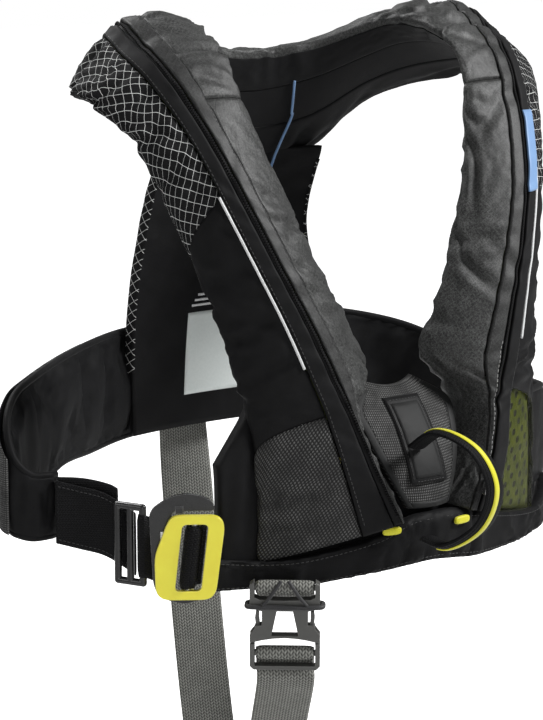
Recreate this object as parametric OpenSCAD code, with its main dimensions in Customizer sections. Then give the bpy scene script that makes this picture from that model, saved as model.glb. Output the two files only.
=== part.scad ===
// Inflatable life jacket with a built-in harness: a horseshoe-shaped bladder folded under
// zipped covers, a waist belt with a metal side buckle, and a crotch strap.
// Frame: +Z up, -Y the wearer's front, +X the wearer's left. Origin: torso axis, level with
// the lower edge of the front hem.

/* [Jacket] */
// Width over the outer edges of the two shoulders
jacket_width = 400; // [390:1:410]
// Depth from the zip crest at the chest to the back of the collar
jacket_depth = 264; // [258:1:270]
// Height from the hem to the tops of the shoulders
jacket_height = 404; // [396:1:412]
// Fullness of the padded lobes: 1 is an ellipse, higher is more pointed
lobe_bulge = 1.3; // [1.1:0.05:1.5]
// Thickness of the cover fabric
cover_thick = 2; // [1.6:0.1:2.4]
// Gap between the folded bladder and the outer face of the covers
bladder_inset = 5; // [4:0.5:6]

/* [Webbing] */
// Width of the harness webbing
web_w = 45; // [44:0.5:46]
// Width of the crotch webbing
crotch_w = 39; // [38:0.5:40]
// Thickness of one layer of webbing
web_t = 2.4; // [2:0.1:2.6]
// Width of the safety-line loop
loop_w = 20; // [16:1:22]
// Lowest point of the crotch strap
crotch_drop = 250; // [230:5:280]

/* [Side buckle] */
// Thickness of the yellow frame
frame_t = 4; // [3.5:0.1:4.5]
// Thickness of the hook plate
plate_t = 2.5; // [2:0.1:3]
// Diameter of the webbing pin in the frame
pin_d = 5; // [4.5:0.1:5.5]
// Turn of the buckle about the vertical, in degrees
buckle_yaw = -31.4; // [-33:0.1:-30]

/* [Crotch buckle] */
// Width of the side-release buckle
clip_w = 47; // [46.5:0.5:48]
// Depth of the buckle body, front to back
clip_d = 9; // [8.5:0.1:10]

/* [Inflator] */
// Diameter of the gas cylinder
cylinder_d = 21; // [20:0.5:21.5]
// Length of the gas cylinder's straight wall
cylinder_l = 66; // [60:1:68]

/* [Hidden] */
$fn = 48;

black = [0.07, 0.07, 0.08];
charcoal = [0.17, 0.17, 0.18];
grey_web = [0.33, 0.33, 0.32];
grey_plastic = [0.52, 0.52, 0.5];
yellow = [0.86, 0.84, 0.2];
pale_grey = [0.72, 0.76, 0.75];
steel = [0.75, 0.76, 0.77];
blue = [0.3, 0.55, 0.85];
white = [0.93, 0.93, 0.93];
olive = [0.45, 0.5, 0.12];

// ---- points, curves and thin solids ----

scale_of = [jacket_width / 400, jacket_depth / 264, jacket_height / 404];
function place(p) = [p.x * scale_of.x, p.y * scale_of.y, p.z * scale_of.z];
function mix(a, b, t) = a + (b - a) * t;
function sgn(x) = x < 0 ? -1 : 1;
function mirror_x(rows) = [for (p = rows) [-p.x, p.y, p.z]];
function unit(v) = v / norm(v);

// Catmull-Rom point between b and c
function curve(a, b, c, d, t) = 0.5 * (2 * b + (c - a) * t
    + (2 * a - 5 * b + 4 * c - d) * t * t + (3 * b - 3 * c + d - a) * t * t * t);

// Point at u = 0 .. len - 1 along an open list of points
function along(list, u) =
    let (last = len(list) - 1, i = max(0, min(floor(u), last - 1)), t = u - i,
         b = list[i], c = list[i + 1],
         a = i == 0 ? 2 * b - c : list[i - 1],
         d = i + 2 > last ? 2 * c - b : list[i + 2])
    curve(a, b, c, d, t);

function steps(n) = [for (i = [0:n]) i / n];
function two(a, b, c, d) = [[a, b, c], [a, c, d]];

// Closed solid between two grids of points with the same rows and columns.
// Rows run along v and columns along a, and v x a points out of the upper grid.
module sheet(upper, lower) {
    n = len(upper);
    m = len(upper[0]);
    k = n * m;
    faces = concat(
        [for (i = [0:n - 2], j = [0:m - 2]) each
            two(i * m + j, i * m + j + 1, (i + 1) * m + j + 1, (i + 1) * m + j)],
        [for (i = [0:n - 2], j = [0:m - 2]) each
            two(k + i * m + j, k + (i + 1) * m + j, k + (i + 1) * m + j + 1, k + i * m + j + 1)],
        [for (i = [0:n - 2]) each two(i * m, (i + 1) * m, k + (i + 1) * m, k + i * m)],
        [for (i = [0:n - 2]) each two(i * m + m - 1, k + i * m + m - 1,
            k + (i + 1) * m + m - 1, (i + 1) * m + m - 1)],
        [for (j = [0:m - 2]) each two(j, k + j, k + j + 1, j + 1)],
        [for (j = [0:m - 2]) each two((n - 1) * m + j, (n - 1) * m + j + 1,
            k + (n - 1) * m + j + 1, k + (n - 1) * m + j)]);
    polyhedron(points = concat([for (r = upper) each r], [for (r = lower) each r]),
        faces = faces, convexity = 6);
}

// Closed solid through rings of points, each ring convex and anticlockwise seen from ahead
module loft(rings) {
    n = len(rings);
    m = len(rings[0]);
    faces = concat([[for (j = [0:m - 1]) j]],
        [for (i = [0:n - 2], j = [0:m - 1]) each two(i * m + j, (i + 1) * m + j,
            (i + 1) * m + (j + 1) % m, i * m + (j + 1) % m)],
        [[for (j = [m - 1:-1:0]) (n - 1) * m + j]]);
    polyhedron(points = [for (r = rings) each r], faces = faces, convexity = 6);
}

// Upright band along a plan path. Each stop is [x, y, low z, high z]; t is the thickness
// and side moves the band outward from the path.
function band_normal(path, u) =
    let (p = along(path, u + 0.02), q = along(path, u - 0.02), d = unit([p.x - q.x, p.y - q.y]))
    [d.y, -d.x, 0];
function band_face(path, us, m, off) = [for (u = us) let (p = along(path, u), n = band_normal(path, u))
    [for (f = steps(m)) [p.x, p.y, mix(p[2], p[3], f)] + n * off(f)]];
module band(path, t, side = 0, per = 3, m = 6, edge = 0.5, from = 0, to = -1) {
    last = to < 0 ? len(path) - 1 : to;
    us = [for (f = steps(ceil((last - from) * per))) mix(from, last, f)];
    full = function (f) t / 2 * (edge + (1 - edge) * sqrt(1 - pow(abs(2 * f - 1), 4)));
    sheet(band_face(path, us, m, function (f) side + full(f)),
          band_face(path, us, m, function (f) side - full(f)));
}

// ---- the padded horseshoe ----

// Stations from the centre of the back (0) over the shoulder to the bottom of the front.
// Each is inner edge, crest, outer edge, then the depth behind the two edges.
stations = [
    [[0, 76, 366], [0, 120, 332], [0, 110, 284], [0, 7, 0]],
    [[42, 69, 370], [62, 114, 346], [64, 108, 286], [0, 7, 0]],
    [[74, 47, 383], [108, 86, 372], [116, 89, 326], [0, 7, 0]],
    [[88, 22, 390], [145, 28, 394], [170, 42, 345], [0, 7, 0]],
    [[95, -16, 382], [148, -5, 382], [192, 6, 353], [0, 7, 0]],
    [[97, -42, 360], [143, -36, 362], [186, -18, 340], [0, 7, 0]],
    [[89, -58, 322], [131, -68, 322], [172, -38, 320], [0, 7, 0]],
    [[76, -74, 280], [118, -91, 280], [160, -54, 282], [0, 7, 0]],
    [[60, -83, 240], [103, -106, 240], [147, -68, 242], [0, 7, 0]],
    [[41, -91, 200], [86, -118, 200], [135, -80, 202], [0, 8, 0]],
    [[26, -93, 165], [71, -127, 162], [127, -89, 166], [0, 12, 0]],
    [[46, -110, 134], [60, -133, 136], [121, -97, 138], [0, 20, 0]],
    [[37, -124, 100], [48, -143, 100], [119, -103, 98], [0, 24, 0]],
    [[22, -131, 71], [33, -147, 68], [119, -104, 48], [0, 24, 0]]];
last_station = len(stations) - 1;

function station(u) =
    let (i = min(floor(u), last_station - 1), b = stations[i], c = stations[i + 1],
         a = i == 0 ? mirror_x(stations[1]) : stations[i - 1],
         d = i + 2 > last_station ? 2 * c - b : stations[i + 2])
    curve(a, b, c, d, u - i);

// Point on the horseshoe: v is the station, negative on the wearer's right; angle goes
// from the inner edge (0) over the crest (90) to the outer edge (180) and back behind;
// out is the height above the outer face of the covers.
function lobe_point(v, angle, out) =
    let (st = station(abs(v)), chord = st[2] - st[0], w = norm(chord), ux = chord / w,
         sc = (st[1] - st[0]) * ux, up = st[1] - st[0] - sc * ux, h = norm(up),
         ca = cos(angle), sa = sin(angle),
         s = sc - sgn(ca) * (ca > 0 ? sc + out : w - sc + out) * pow(abs(ca), lobe_bulge),
         t = sa > 0 ? (h + out) * pow(sa, lobe_bulge) : -(st[3].y + out) * pow(-sa, 0.6),
         p = place(st[0] + s * ux + t * up / h))
    [v < 0 ? -p.x : p.x, p.y, p.z];

// Piece of the horseshoe between two stations and two angles. The stations may differ
// between the angle a0 (v0, v1) and the angle a1 (w0, w1), for an oblique seam.
module lobe_piece(v0, v1, a0, a1, high, low, per = 2, m = 9, w0 = undef, w1 = undef) {
    e0 = is_undef(w0) ? v0 : w0;
    e1 = is_undef(w1) ? v1 : w1;
    n = ceil(max(abs(v1 - v0), abs(e1 - e0)) * per);
    function grid(out) = [for (i = steps(n)) [for (j = steps(m))
        lobe_point(mix(mix(v0, e0, j), mix(v1, e1, j), i), mix(a0, a1, j), out)]];
    sheet(grid(high), grid(low));
}

seam_angle = 66;       // inner edge of the zip flaps
groove_angle = 83;     // edge of the zip groove
flap_angle = 113;      // outer edge of the zip flaps
under_angle = 242;     // where the cover ends behind the lobe
seam_gap = 1;          // angle left open at each seam
shoulder_seam = 5.4;   // station of the seam across the shoulder
mesh_end = [6.85, 7.9];     // station of the mesh's lower end, beside the flap and at the outer edge
pocket_top = [10.9, 11.6];  // station of the pocket's top, beside the flap and at the outer edge
seam_v = 0.02;              // half of the gap at a cross seam, in stations
side_angle = 167;           // outer edge of the window

// Station of an oblique seam at a given angle
function oblique(seam, angle) = mix(seam[0], seam[1], (angle - flap_angle) / (180 - flap_angle));

module cover_front_right()
    color(charcoal) lobe_piece(-last_station, -shoulder_seam - seam_v, -62, seam_angle, 0, -cover_thick);
module cover_front_left()
    color(charcoal) lobe_piece(shoulder_seam + seam_v, last_station, -62, seam_angle, 0, -cover_thick);
module cover_collar()
    color(charcoal) lobe_piece(-shoulder_seam, shoulder_seam, -62, seam_angle, 0, -cover_thick);

module zip_flap_inner()
    color(black) lobe_piece(-last_station, last_station, seam_angle + seam_gap, groove_angle,
        1.6, -0.6, m = 3);
module zip_flap_outer()
    color(black) lobe_piece(-last_station, last_station, 180 - groove_angle, flap_angle - seam_gap,
        1.6, -0.6, m = 3);
module zip_chain()
    color(black) lobe_piece(-last_station, last_station, groove_angle + 1.5, 178.5 - groove_angle,
        0.2, -1.8, m = 2);

slider_station = 12.4;
slider_len = 14;
module at_slider() {
    p = lobe_point(slider_station, 90, 5.1);
    q = lobe_point(slider_station + 0.1, 90, 5.1);
    d = unit(q - p);
    translate(p)
        rotate([0, acos(d.z), atan2(d.y, d.x)])
            rotate([0, 0, 180 - atan2(d.y, d.x)])
                children();
}
module zip_slider() {
    color(grey_plastic) at_slider() {
        hull() {
            translate([-3.5, -1.4, 0]) cube([7, 2.4, slider_len - 4]);
            translate([-2.2, -1.4, 0]) cube([4.4, 2.4, slider_len]);
        }
    }
}

module side_piece(side, top, bottom, a0, a1, high = 0, low = -cover_thick)
    lobe_piece(side * oblique(top, a0) + seam_v, side * oblique(bottom, a0) - seam_v, a0, a1, high, low,
        w0 = side * oblique(top, a1) + seam_v, w1 = side * oblique(bottom, a1) - seam_v);
lobe_end = [last_station, last_station];
module side_panel_right() color(black)
    side_piece(-1, pocket_top, mesh_end, flap_angle, under_angle);
module side_panel_left() color(black) {
    side_piece(1, mesh_end, pocket_top, flap_angle, under_angle);
    side_piece(1, pocket_top - [0.2, 0.2], lobe_end, side_angle, under_angle);
}
module mesh_panel() color(charcoal)
    lobe_piece(-mesh_end[0] + seam_v, mesh_end[0] - seam_v, flap_angle, under_angle, 0, -cover_thick,
        w0 = -oblique(mesh_end, under_angle) + seam_v, w1 = oblique(mesh_end, under_angle) - seam_v);

// Round cord along the horseshoe at one angle
module lobe_cord(v0, v1, angle, out, r, per = 4) {
    n = ceil(abs(v1 - v0) * per);
    rings = [for (i = steps(n)) let (v = mix(v0, v1, i), p = lobe_point(v, angle, out),
        d = unit(lobe_point(v + 0.05, angle, out) - lobe_point(v - 0.05, angle, out)),
        up = unit(lobe_point(v, angle, out + 2) - p), side = cross(d, up))
        [for (k = [0:5]) p + r * (cos(60 * k) * up + sin(60 * k) * side)]];
    loft(rings);
}
piping_end = 9.7;
piping_angle = flap_angle + 1.5;
module piping() color(white) {
    lobe_cord(-piping_end, -mesh_end[0], piping_angle, 1.5, 0.9);
    lobe_cord(mesh_end[0], piping_end, piping_angle, 1.5, 0.9);
}
// Round cord through a list of points
module cord(points, r, per = 3) {
    last = len(points) - 1;
    loft([for (f = steps(last * per)) let (u = f * last, p = along(points, u),
        d = unit(along(points, u + 0.05) - along(points, u - 0.05)), side = unit(cross(d, [0, 0.3, 1])),
        up = cross(side, d)) [for (k = [0:5]) p + r * (cos(60 * k) * up + sin(60 * k) * side)]]);
}
// Blue piping down the inside of the collar and the back, left of the middle
module liner_piping() color(blue)
    cord([for (a = [335, 305, 275, 250]) lobe_point(1.15, a, 2.3), [50, 97, 276], [47, 99, 252]], 1);

module pocket_panel() color(charcoal) side_piece(-1, lobe_end, pocket_top, flap_angle, under_angle);
module window() color([0.8, 0.85, 0.8, 0.35])
    side_piece(1, pocket_top, lobe_end, flap_angle, side_angle - seam_gap, 0.4, -0.8);

module liner() color(black)
    lobe_piece(-last_station, last_station, under_angle + 2, 296, 0, -1.5, m = 5);

bladder_right = -11;   // station of the bladder's end on the wearer's right
bladder_left = 8.6;    // station where it thins to a flap over the inflator
flap_end = 12.6;
flap_t = 3;
module bladder() {
    vs = [for (f = steps(44)) mix(bladder_right, flap_end, f)];
    function thin(v) = min(1, max(0, (v - bladder_left) / 0.8));
    function angle_of(v, k) = mix(mix(4, 176, k), mix(104, 158, k), thin(v));
    function top(v) = [for (k = steps(6)) lobe_point(v, angle_of(v, k), -bladder_inset)];
    function bottom(v) = [for (k = steps(6)) let (a = angle_of(v, k))
        mix(lobe_point(v, -a, -bladder_inset), lobe_point(v, a, -bladder_inset - flap_t), thin(v))];
    color(olive) sheet([for (v = vs) top(v)], [for (v = vs) bottom(v)]);
}

// ---- chest, hem and wings ----

hem_path = [[-152, -91, 22, 46], [-122, -102, 22, 42], [-90, -118, 23, 43], [-45, -134, 28, 53],
    [-20, -138, 30, 64], [0, -139, 31, 66], [20, -138, 29, 65], [45, -134, 26, 59], [90, -119, 25, 48],
    [122, -103, 26, 44], [146, -84, 26, 44], [162, -66, 26, 42]];
hem_t = 12;
module hem_band() color(black) band(hem_path, hem_t, m = 8);
module hem_tabs() color(yellow)
    for (x = [-36, 21.5])
        translate([x, -148.7 + 0.004 * x * x, 58]) rotate([0, 0, x / 3]) rotate([90, 0, 0])
            hull() for (s = [-1, 1]) translate([4.5 * s, 0, -2]) cylinder(d = 5, h = 3);

// Centre panel between the two lobes, wider at the top
panel_rows = [[69, 17, -137], [80, 23, -134], [100, 32, -127], [122, 39, -115], [136, 40, -104],
    [150, 20, -91]];
panel_t = 5;
function panel_point(u, f, off) = let (r = along(panel_rows, u))
    [r[1] * f, r[2] + 5 * f * f - off, r[0] - 4 * (1 - f * f) * u / 5];
module centre_panel() {
    function grid(off) = [for (f = steps(10)) [for (u = steps(12)) panel_point(5 * u, 2 * f - 1, off)]];
    color(charcoal) sheet(grid(0), grid(panel_t));
}
label_w = 30;
// Row of the centre panel whose middle lies at a given height
function panel_u(z) = lookup(z, [for (i = [0:5]) [panel_rows[i][0] - 4 * i / 5, i]]);
module label_patch() {
    function grid(off) = [for (f = steps(4)) [for (u = steps(6)) let (z = mix(86, 140, u),
        p = panel_point(panel_u(z), 0, panel_t))
        [label_w * (f - 0.5), p.y + pow(2 * f - 1, 2) - off, z]]];
    color(black) sheet(grid(1.3), grid(3));
}

// Soft panel from the wearer's right lobe out to the side buckle
wing_end = [-144, -93, 0];
wing_t = 9;
module front_wing_right() {
    function grid(side) = [for (f = steps(4)) [for (u = steps(8))
        mix(lobe_point(mix(-12.95, -10.7, u), 180, 1.6) + [0, 7, 0], wing_end + [0, 0, mix(49, 108, u)], f)
            + [0, side * wing_t / 2 * (0.4 + 0.6 * sqrt(1 - pow(2 * u - 1, 4))), 0]]];
    color(black) sheet(grid(1), grid(-1));
}
module side_tab() color(blue)
    lobe_piece(5.9, 7.2, 99, 111, 3.1, 2, m = 2);

harness_path = [[-146, -70, 56, 101], [-125, -68, 60, 105], [-85, -82, 62, 107], [-43, -94, 62, 107],
    [0, -101, 62, 107], [43, -94, 62, 107], [85, -82, 62, 107], [125, -68, 58, 103]];
module harness_webbing() color(grey_web) band(harness_path, web_t, m = 3, edge = 0.9);

// ---- back ----

// Height, distance behind the axis, half-width and sideways shift of the back panel
back_rows = [[78, 125, 82, -2], [132, 124, 82, -3], [184, 120, 79, -5], [230, 116, 72, -6],
    [257, 112, 74, -3], [278, 106, 79, 0]];
back_t = 6;
back_bow = 9;          // how far its sides curve forward
function back_point(u, f, off) = let (r = along(back_rows, u))
    [r[3] + r[2] * f, r[1] - back_bow * f * f + off, r[0]];
module back_sheet(u0, u1, f1, low, high) {
    function grid(off) = [for (f = steps(8))
        [for (u = steps(9)) back_point(mix(u0, u1, u), f1 * (1 - 2 * f), off)]];
    sheet(grid(high), grid(low));
}
module back_panel() color(black) back_sheet(0, 5, 1, 0, back_t);
module back_mesh() color(charcoal) back_sheet(1.6, 4.95, 1, back_t + 0.4, back_t + 1.6);
module back_print() color(pale_grey) back_sheet(0.45, 1.64, 0.4, -1.3, -0.5);

// Waist belt from the wearer's left front, round the back, to the open end on the right
belt_path = [[131, -84, 52, 124], [158, -64, 50, 120], [180, -34, 22, 114], [189, 2, 30, 112],
    [182, 48, 46, 122], [150, 92, 62, 142], [100, 122, 72, 154], [50, 136, 77, 157], [0, 139, 77, 157],
    [-50, 136, 77, 157], [-91, 124, 77, 157], [-135, 94, 79, 158], [-177, 62, 82, 157],
    [-210, 40, 70, 152], [-235, 20, 60, 147], [-250, 4, 61, 133], [-252, -8, 59, 112],
    [-243, -15, 56, 100], [-230, -17, 56, 98]];
belt_t = 8;
module belt_pad() color(black) band(belt_path, belt_t, m = 7, per = 2.5);
wing_panel_t = 1.6;
module belt_wing_panel() color(charcoal)
    band(belt_path, wing_panel_t, side = belt_t / 2 + 1.4, m = 5, edge = 0.9, from = 11, to = 16);
module reflective_patch() color(white)
    band([for (u = steps(4)) let (p = along(belt_path, mix(14.6, 15.2, u))) [p.x, p.y, 78, 118]],
        0.8, side = belt_t / 2 + 3, m = 3, edge = 0.9);

// ---- waist webbing and side buckle ----

strap_path = [[-231, -27, 53, 97], [-218, -35, 49, 93], [-205, -46, 45, 89], [-196, -57, 38, 82],
    [-190.5, -67, 32, 76]];
module belt_webbing() color(black) band(strap_path, web_t, m = 3, edge = 0.9);
keeper_path = [[-231, -27, 54, 98], [-216, -36, 51, 97], [-204, -47, 48, 94], [-199, -52, 48, 91]];
module belt_keeper() color(black) band(keeper_path, 5, side = -5.6, m = 5);

ladder_pos = [-197, -67.5, 57];
ladder_yaw = -60;
ladder_w = 24;
ladder_h = web_w + 12;
ladder_bar = 5;
module at_ladder() translate(ladder_pos) rotate([0, 0, ladder_yaw]) children();
module ladder_adjuster() color(black) at_ladder() {
    for (x = [-1, 0, 1])
        translate([x * (ladder_w - ladder_bar) / 2, 0, -ladder_h / 2 + ladder_bar / 2])
            cylinder(d = ladder_bar, h = ladder_h - ladder_bar);
    for (s = [-1, 1])
        translate([0, 0, s * (ladder_h - ladder_bar) / 2])
            rotate([0, 90, 0]) cylinder(d = ladder_bar, h = ladder_w - ladder_bar, center = true);
    for (s = [-1, 1], x = [-1, 1])
        translate([x * (ladder_w - ladder_bar) / 2, 0, s * (ladder_h - ladder_bar) / 2])
            sphere(d = ladder_bar);
}

buckle_pos = [-170, -98, 50];
module at_buckle() translate(buckle_pos) rotate([0, 0, buckle_yaw]) children();
// Plate drawn in the buckle's own plane: front is the outer face, given as its depth
module buckle_slab(front, thick)
    translate([0, front + thick, 0]) rotate([90, 0, 0]) linear_extrude(thick) children();

slot_lean = 6.5;       // lean of the slot from the vertical, in degrees
slot_h = web_w + 1;
corner_r = 6;          // rounding of the frame's corners
slot_corner_r = 3.5;
plate_corner_r = 3;
// Outline with each corner replaced by a smooth curve that starts r away from it
function rounded(points, r) = let (n = len(points)) [for (i = [0:n - 1])
    let (p = points[i], a = points[(i + n - 1) % n] - p, b = points[(i + 1) % n] - p,
        start = p + unit(a) * min(r, norm(a) * 0.45), end = p + unit(b) * min(r, norm(b) * 0.45))
    for (t = steps(5)) (1 - t) * (1 - t) * start + 2 * t * (1 - t) * p + t * t * end];
module frame_outline() polygon(rounded([[-10, 29], [19, 29], [24, 23], [18, -24], [13, -29], [-17, -29],
    [-22.5, -24], [-23, 1], [-14, 25]], corner_r));
module slot_outline(w, h) let (shift = h * tan(slot_lean)) polygon(rounded([[slot_x, h / 2],
    [slot_x + w, h / 2], [slot_x + w - shift, -h / 2], [slot_x - shift, -h / 2]], slot_corner_r));
slot_w = 17.5;
slot_x = -4.4;         // slot's top corner on the plate side
pin_x = 1.6;           // pin's place in the slot, at half height
pin_depth = 4.5;       // pin's axis behind the frame's front face
module pin_axis() translate([pin_x, pin_depth, 0]) rotate([0, slot_lean, 0]) children();
boss_l = 3;            // length of the bosses that hold the pin's ends
module buckle_frame() color(yellow) at_buckle() difference() {
    union() {
        buckle_slab(0, frame_t) difference() {
            frame_outline();
            slot_outline(slot_w, slot_h);
        }
        for (s = [-1, 1]) pin_axis() translate([0, 0, s * (slot_h / 2 + 1.8) - boss_l / 2])
            cylinder(d = pin_d + 4, h = boss_l);
    }
    pin_axis() cylinder(d = pin_d + 0.1, h = slot_h + 8, center = true);
}
module webbing_pin() color(steel) at_buckle() pin_axis() cylinder(d = pin_d, h = slot_h + 6.4, center = true);

roll_r = 6.8;
module front_webbing() color(black) at_buckle() difference() {
    union() {
        pin_axis() cylinder(r = roll_r, h = web_w - 1.5, center = true);
        translate([pin_x, pin_depth + roll_r - web_t - 0.2, -web_w / 2 + 1.5]) cube([9, web_t, web_w - 3]);
    }
    pin_axis() cylinder(d = pin_d + 0.1, h = web_w + 4, center = true);
}

plate_front = frame_t + 1.2;
module plate_outline() polygon(rounded([[-26.5, 28], [-24, 33], [-17, 38], [-10, 41.5], [-1.3, 43],
    [7.5, 41.5], [14, 38.5], [17, 34.5], [17, 31], [-11, 31], [-16.5, -25.5], [-8, -25.5], [-6, -29.8],
    [8, -29.8], [8, -30.6], [-3, -33.5], [-15, -30.5], [-21.5, -26], [-24, -19]], plate_corner_r));
bar_x = -20.5;         // upright bar behind the plate that the belt webbing turns round
bar_r = 2;
bar_out = plate_front + plate_t + bar_r + web_t + 0.6;
bar_root = plate_front + plate_t - 0.5;
tab_pos = [-8.8, 29.6];   // grey tab above the frame's top edge
tab_size = [5, 2.4, 4.4];
latch_x = -19;
latch_z = 10;
latch_w = 3;
latch_h = 7;
latch_gap = 0.15;
module at_bar() translate([bar_x, bar_out, 1.5]) children();
module buckle_plate() color(black) at_buckle() difference() {
    union() {
        buckle_slab(plate_front, plate_t) plate_outline();
        at_bar() cylinder(r = bar_r, h = web_w + 6, center = true);
        for (s = [-1, 1]) at_bar()
            translate([-bar_r, bar_root - bar_out, s * (web_w / 2 + 2) - 1])
                cube([2 * bar_r, bar_out - bar_root, 2]);
        translate([tab_pos.x, plate_front - tab_size.y + 0.2, tab_pos.y]) cube(tab_size);
    }
    translate([latch_x, plate_front - 1, latch_z])
        cube([latch_w + 2 * latch_gap, plate_t + 2, latch_h + 2 * latch_gap]);
}
module buckle_latch() color(steel) at_buckle()
    translate([latch_x + latch_gap, plate_front - 1, latch_z + latch_gap])
        cube([latch_w, plate_t + 1, latch_h]);
tail_l = 3.5;
tail_inset = 0.2;      // the tail is a little thinner than the turn round the bar
module plate_webbing() color(black) at_buckle() at_bar() difference() {
    union() {
        cylinder(r = bar_r + 0.1 + web_t, h = web_w - 1, center = true);
        rotate([0, 0, 195]) translate([0, tail_inset - bar_r - 0.1 - web_t, tail_inset - web_w / 2 + 0.5])
            cube([tail_l, web_t - 2 * tail_inset, web_w - 1 - 2 * tail_inset]);
    }
    cylinder(r = bar_r + 0.1, h = web_w + 2, center = true);
}

// ---- safety-line loop ----

loop_path = [[-10, -132, 110], [-9, -160, 126], [2, -186, 117], [12, -193, 92], [11, -182, 64],
    [-3, -164, 48], [-14, -150, 52]];
loop_across = unit([0.926, 0.323, -0.193]);
module loop_ribbon(u0, u1, w, low, high) {
    function grid(off) = [for (f = steps(22)) let (u = mix(u0, u1, f), p = along(loop_path, u),
        d = unit(along(loop_path, u + 0.05) - along(loop_path, u - 0.05)), out = cross(loop_across, d))
        [for (k = steps(4)) p - loop_across * w * (k - 0.5) + out * off]];
    sheet(grid(high), grid(low));
}
module tether_loop() color(black) loop_ribbon(0.12, 5.9, loop_w, -2, 2);
module tether_stripe() color(yellow) loop_ribbon(0.5, 5.4, 4.5, -3.1, -2.5);

// ---- crotch strap and its buckle ----

clip_pos = [-115.5, -131, -27.5];
crotch_yaw = -36;      // the strap and its buckle face the wearer's right front
module at_clip() translate(clip_pos) rotate([0, 0, crotch_yaw]) children();
function clip_point(p) = clip_pos + [p.x * cos(crotch_yaw) - p.y * sin(crotch_yaw),
    p.x * sin(crotch_yaw) + p.y * cos(crotch_yaw), p.z];
module clip_slab(thick) translate([0, thick / 2, 0]) rotate([90, 0, 0]) linear_extrude(thick) children();
module both_sides() for (s = [0, 1]) mirror([s, 0]) children();
module cross_bar(z, r, l) translate([0, 0, z]) rotate([0, 90, 0]) cylinder(r = r, h = l, center = true);

half_w = clip_w / 2;
wall_t = 3.2;
inner_w = half_w - wall_t;
ring_bar_z = 56.5;
ring_bar_r = 2.2;
socket_z = 19.6;
module socket_outline() both_sides() polygon([[-0.01, 22.4], [8, 21.9], [15, 20.8], [20, socket_z],
    [half_w, socket_z], [half_w, 24.5], [20.4, 28.5], [19.6, 31], [15.4, 31], [15.4, 41],
    [half_w - 0.6, 43], [half_w, 46],
    [half_w, 59], [half_w - 3, 61], [inner_w, 58], [inner_w, 50.5], [17, 49], [-0.01, 48.4]]);
module socket_window() polygon([[-9, 23.8], [-5.4, 41], [5.4, 41], [9, 23.8]]);
module crotch_socket() color(grey_plastic) at_clip() difference() {
    union() {
        clip_slab(clip_d) difference() {
            socket_outline();
            socket_window();
        }
        cross_bar(ring_bar_z, ring_bar_r, 2 * inner_w + 2);
    }
    both_sides() translate([15.8, -2.7, socket_z - 1]) cube([half_w - 15.8 + 1, 5.4, 13]);
}

plug_bar_z = 11;
plug_bar_r = 2.2;
plug_h = 18;
prong_t = 4.6;
root_x = half_w - 1.7;
root_z = 15;
root_r = 0.8;
running_gap = 0.05;
module crotch_plug() color(grey_plastic) at_clip() difference() {
    union() {
        clip_slab(clip_d - 1) difference() {
            polygon([[-half_w, 2.5], [-half_w + 2.5, 0], [half_w - 2.5, 0], [half_w, 2.5],
                [half_w, plug_h], [-half_w, plug_h]]);
            translate([-inner_w, 2.6]) square([2 * inner_w, plug_h]);
        }
        cross_bar(plug_bar_z, plug_bar_r, 2 * inner_w + 2);
    }
    both_sides() {
        translate([root_x, 0, root_z]) rotate([90, 0, 0])
            cylinder(r = root_r + running_gap, h = clip_d + 2, center = true);
        translate([inner_w - 1, -prong_t / 2 - 0.2, root_z - 2.2]) cube([wall_t + 2, prong_t + 0.4, plug_h]);
    }
}

// Squeeze arm of the plug, turning on a small pin at its root
module prong() {
    translate([root_x, 0, root_z]) rotate([90, 0, 0]) cylinder(r = root_r, h = clip_d - 1, center = true);
    clip_slab(prong_t) {
        translate([root_x, root_z]) circle(r = 1.5);
        polygon([[root_x - 1.4, root_z], [root_x + 1.4, root_z], [22.4, 22], [20.3, 27], [19.4, 31], [20, 36],
            [19.4, 40.4], [17.2, 40.4], [17.2, 36], [16.8, 31], [18, 26], [20, 21]]);
    }
}
module prong_left() color(grey_plastic) at_clip() prong();
module prong_right() color(grey_plastic) at_clip() mirror([1, 0, 0]) prong();

// Ribbon of webbing through points [x, y, z, yaw], where yaw turns its width about the vertical
module webbing(points, w) {
    last = len(points) - 1;
    function grid(off) = [for (i = [0:last]) let (p = points[i],
        q = points[min(i + 1, last)] - points[max(i - 1, 0)], d = unit([q.x, q.y, q.z]),
        side = [cos(p[3]), sin(p[3]), 0], n = unit(cross(side, d)))
        [for (k = [-0.5, 0.5]) [p.x, p.y, p.z] + side * k * w + n * off]];
    sheet(grid(web_t / 2), grid(-web_t / 2));
}
function smooth(points, per) = let (last = len(points) - 1)
    [for (f = steps(last * per)) along(points, f * last)];
// Stops of a fold of webbing round a bar of the buckle, from one angle to another
fold_r = ring_bar_r + 0.3 + web_t / 2;
function fold(z, a0, a1) = [for (f = steps(12)) let (a = mix(a0, a1, f))
    concat(clip_point([0, fold_r * cos(a), z + fold_r * sin(a)]), crotch_yaw)];

module crotch_anchor() color(grey_web)
    webbing(concat(smooth([for (p = [[34, 40], [24, 43], [14, 47.5], [7.5, 52]])
        concat(clip_point([0, p[0], p[1]]), crotch_yaw)], 2), fold(ring_bar_z, -20, 250)), crotch_w);
cord_r = 1.7;
cord_x = half_w + cord_r + 0.3;
cord_y = clip_d / 2 + cord_r + 0.3;
cord_z = 44.3;
module crotch_cord() color(black) at_clip() translate([0, 0, cord_z]) {
    for (s = [-1, 1]) {
        translate([0, s * cord_y, 0]) rotate([0, 90, 0]) cylinder(r = cord_r, h = 2 * cord_x, center = true);
        translate([s * cord_x, 0, 0]) rotate([90, 0, 0]) cylinder(r = cord_r, h = 2 * cord_y, center = true);
        for (t = [-1, 1]) translate([s * cord_x, t * cord_y, 0]) sphere(r = cord_r);
    }
}

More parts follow.
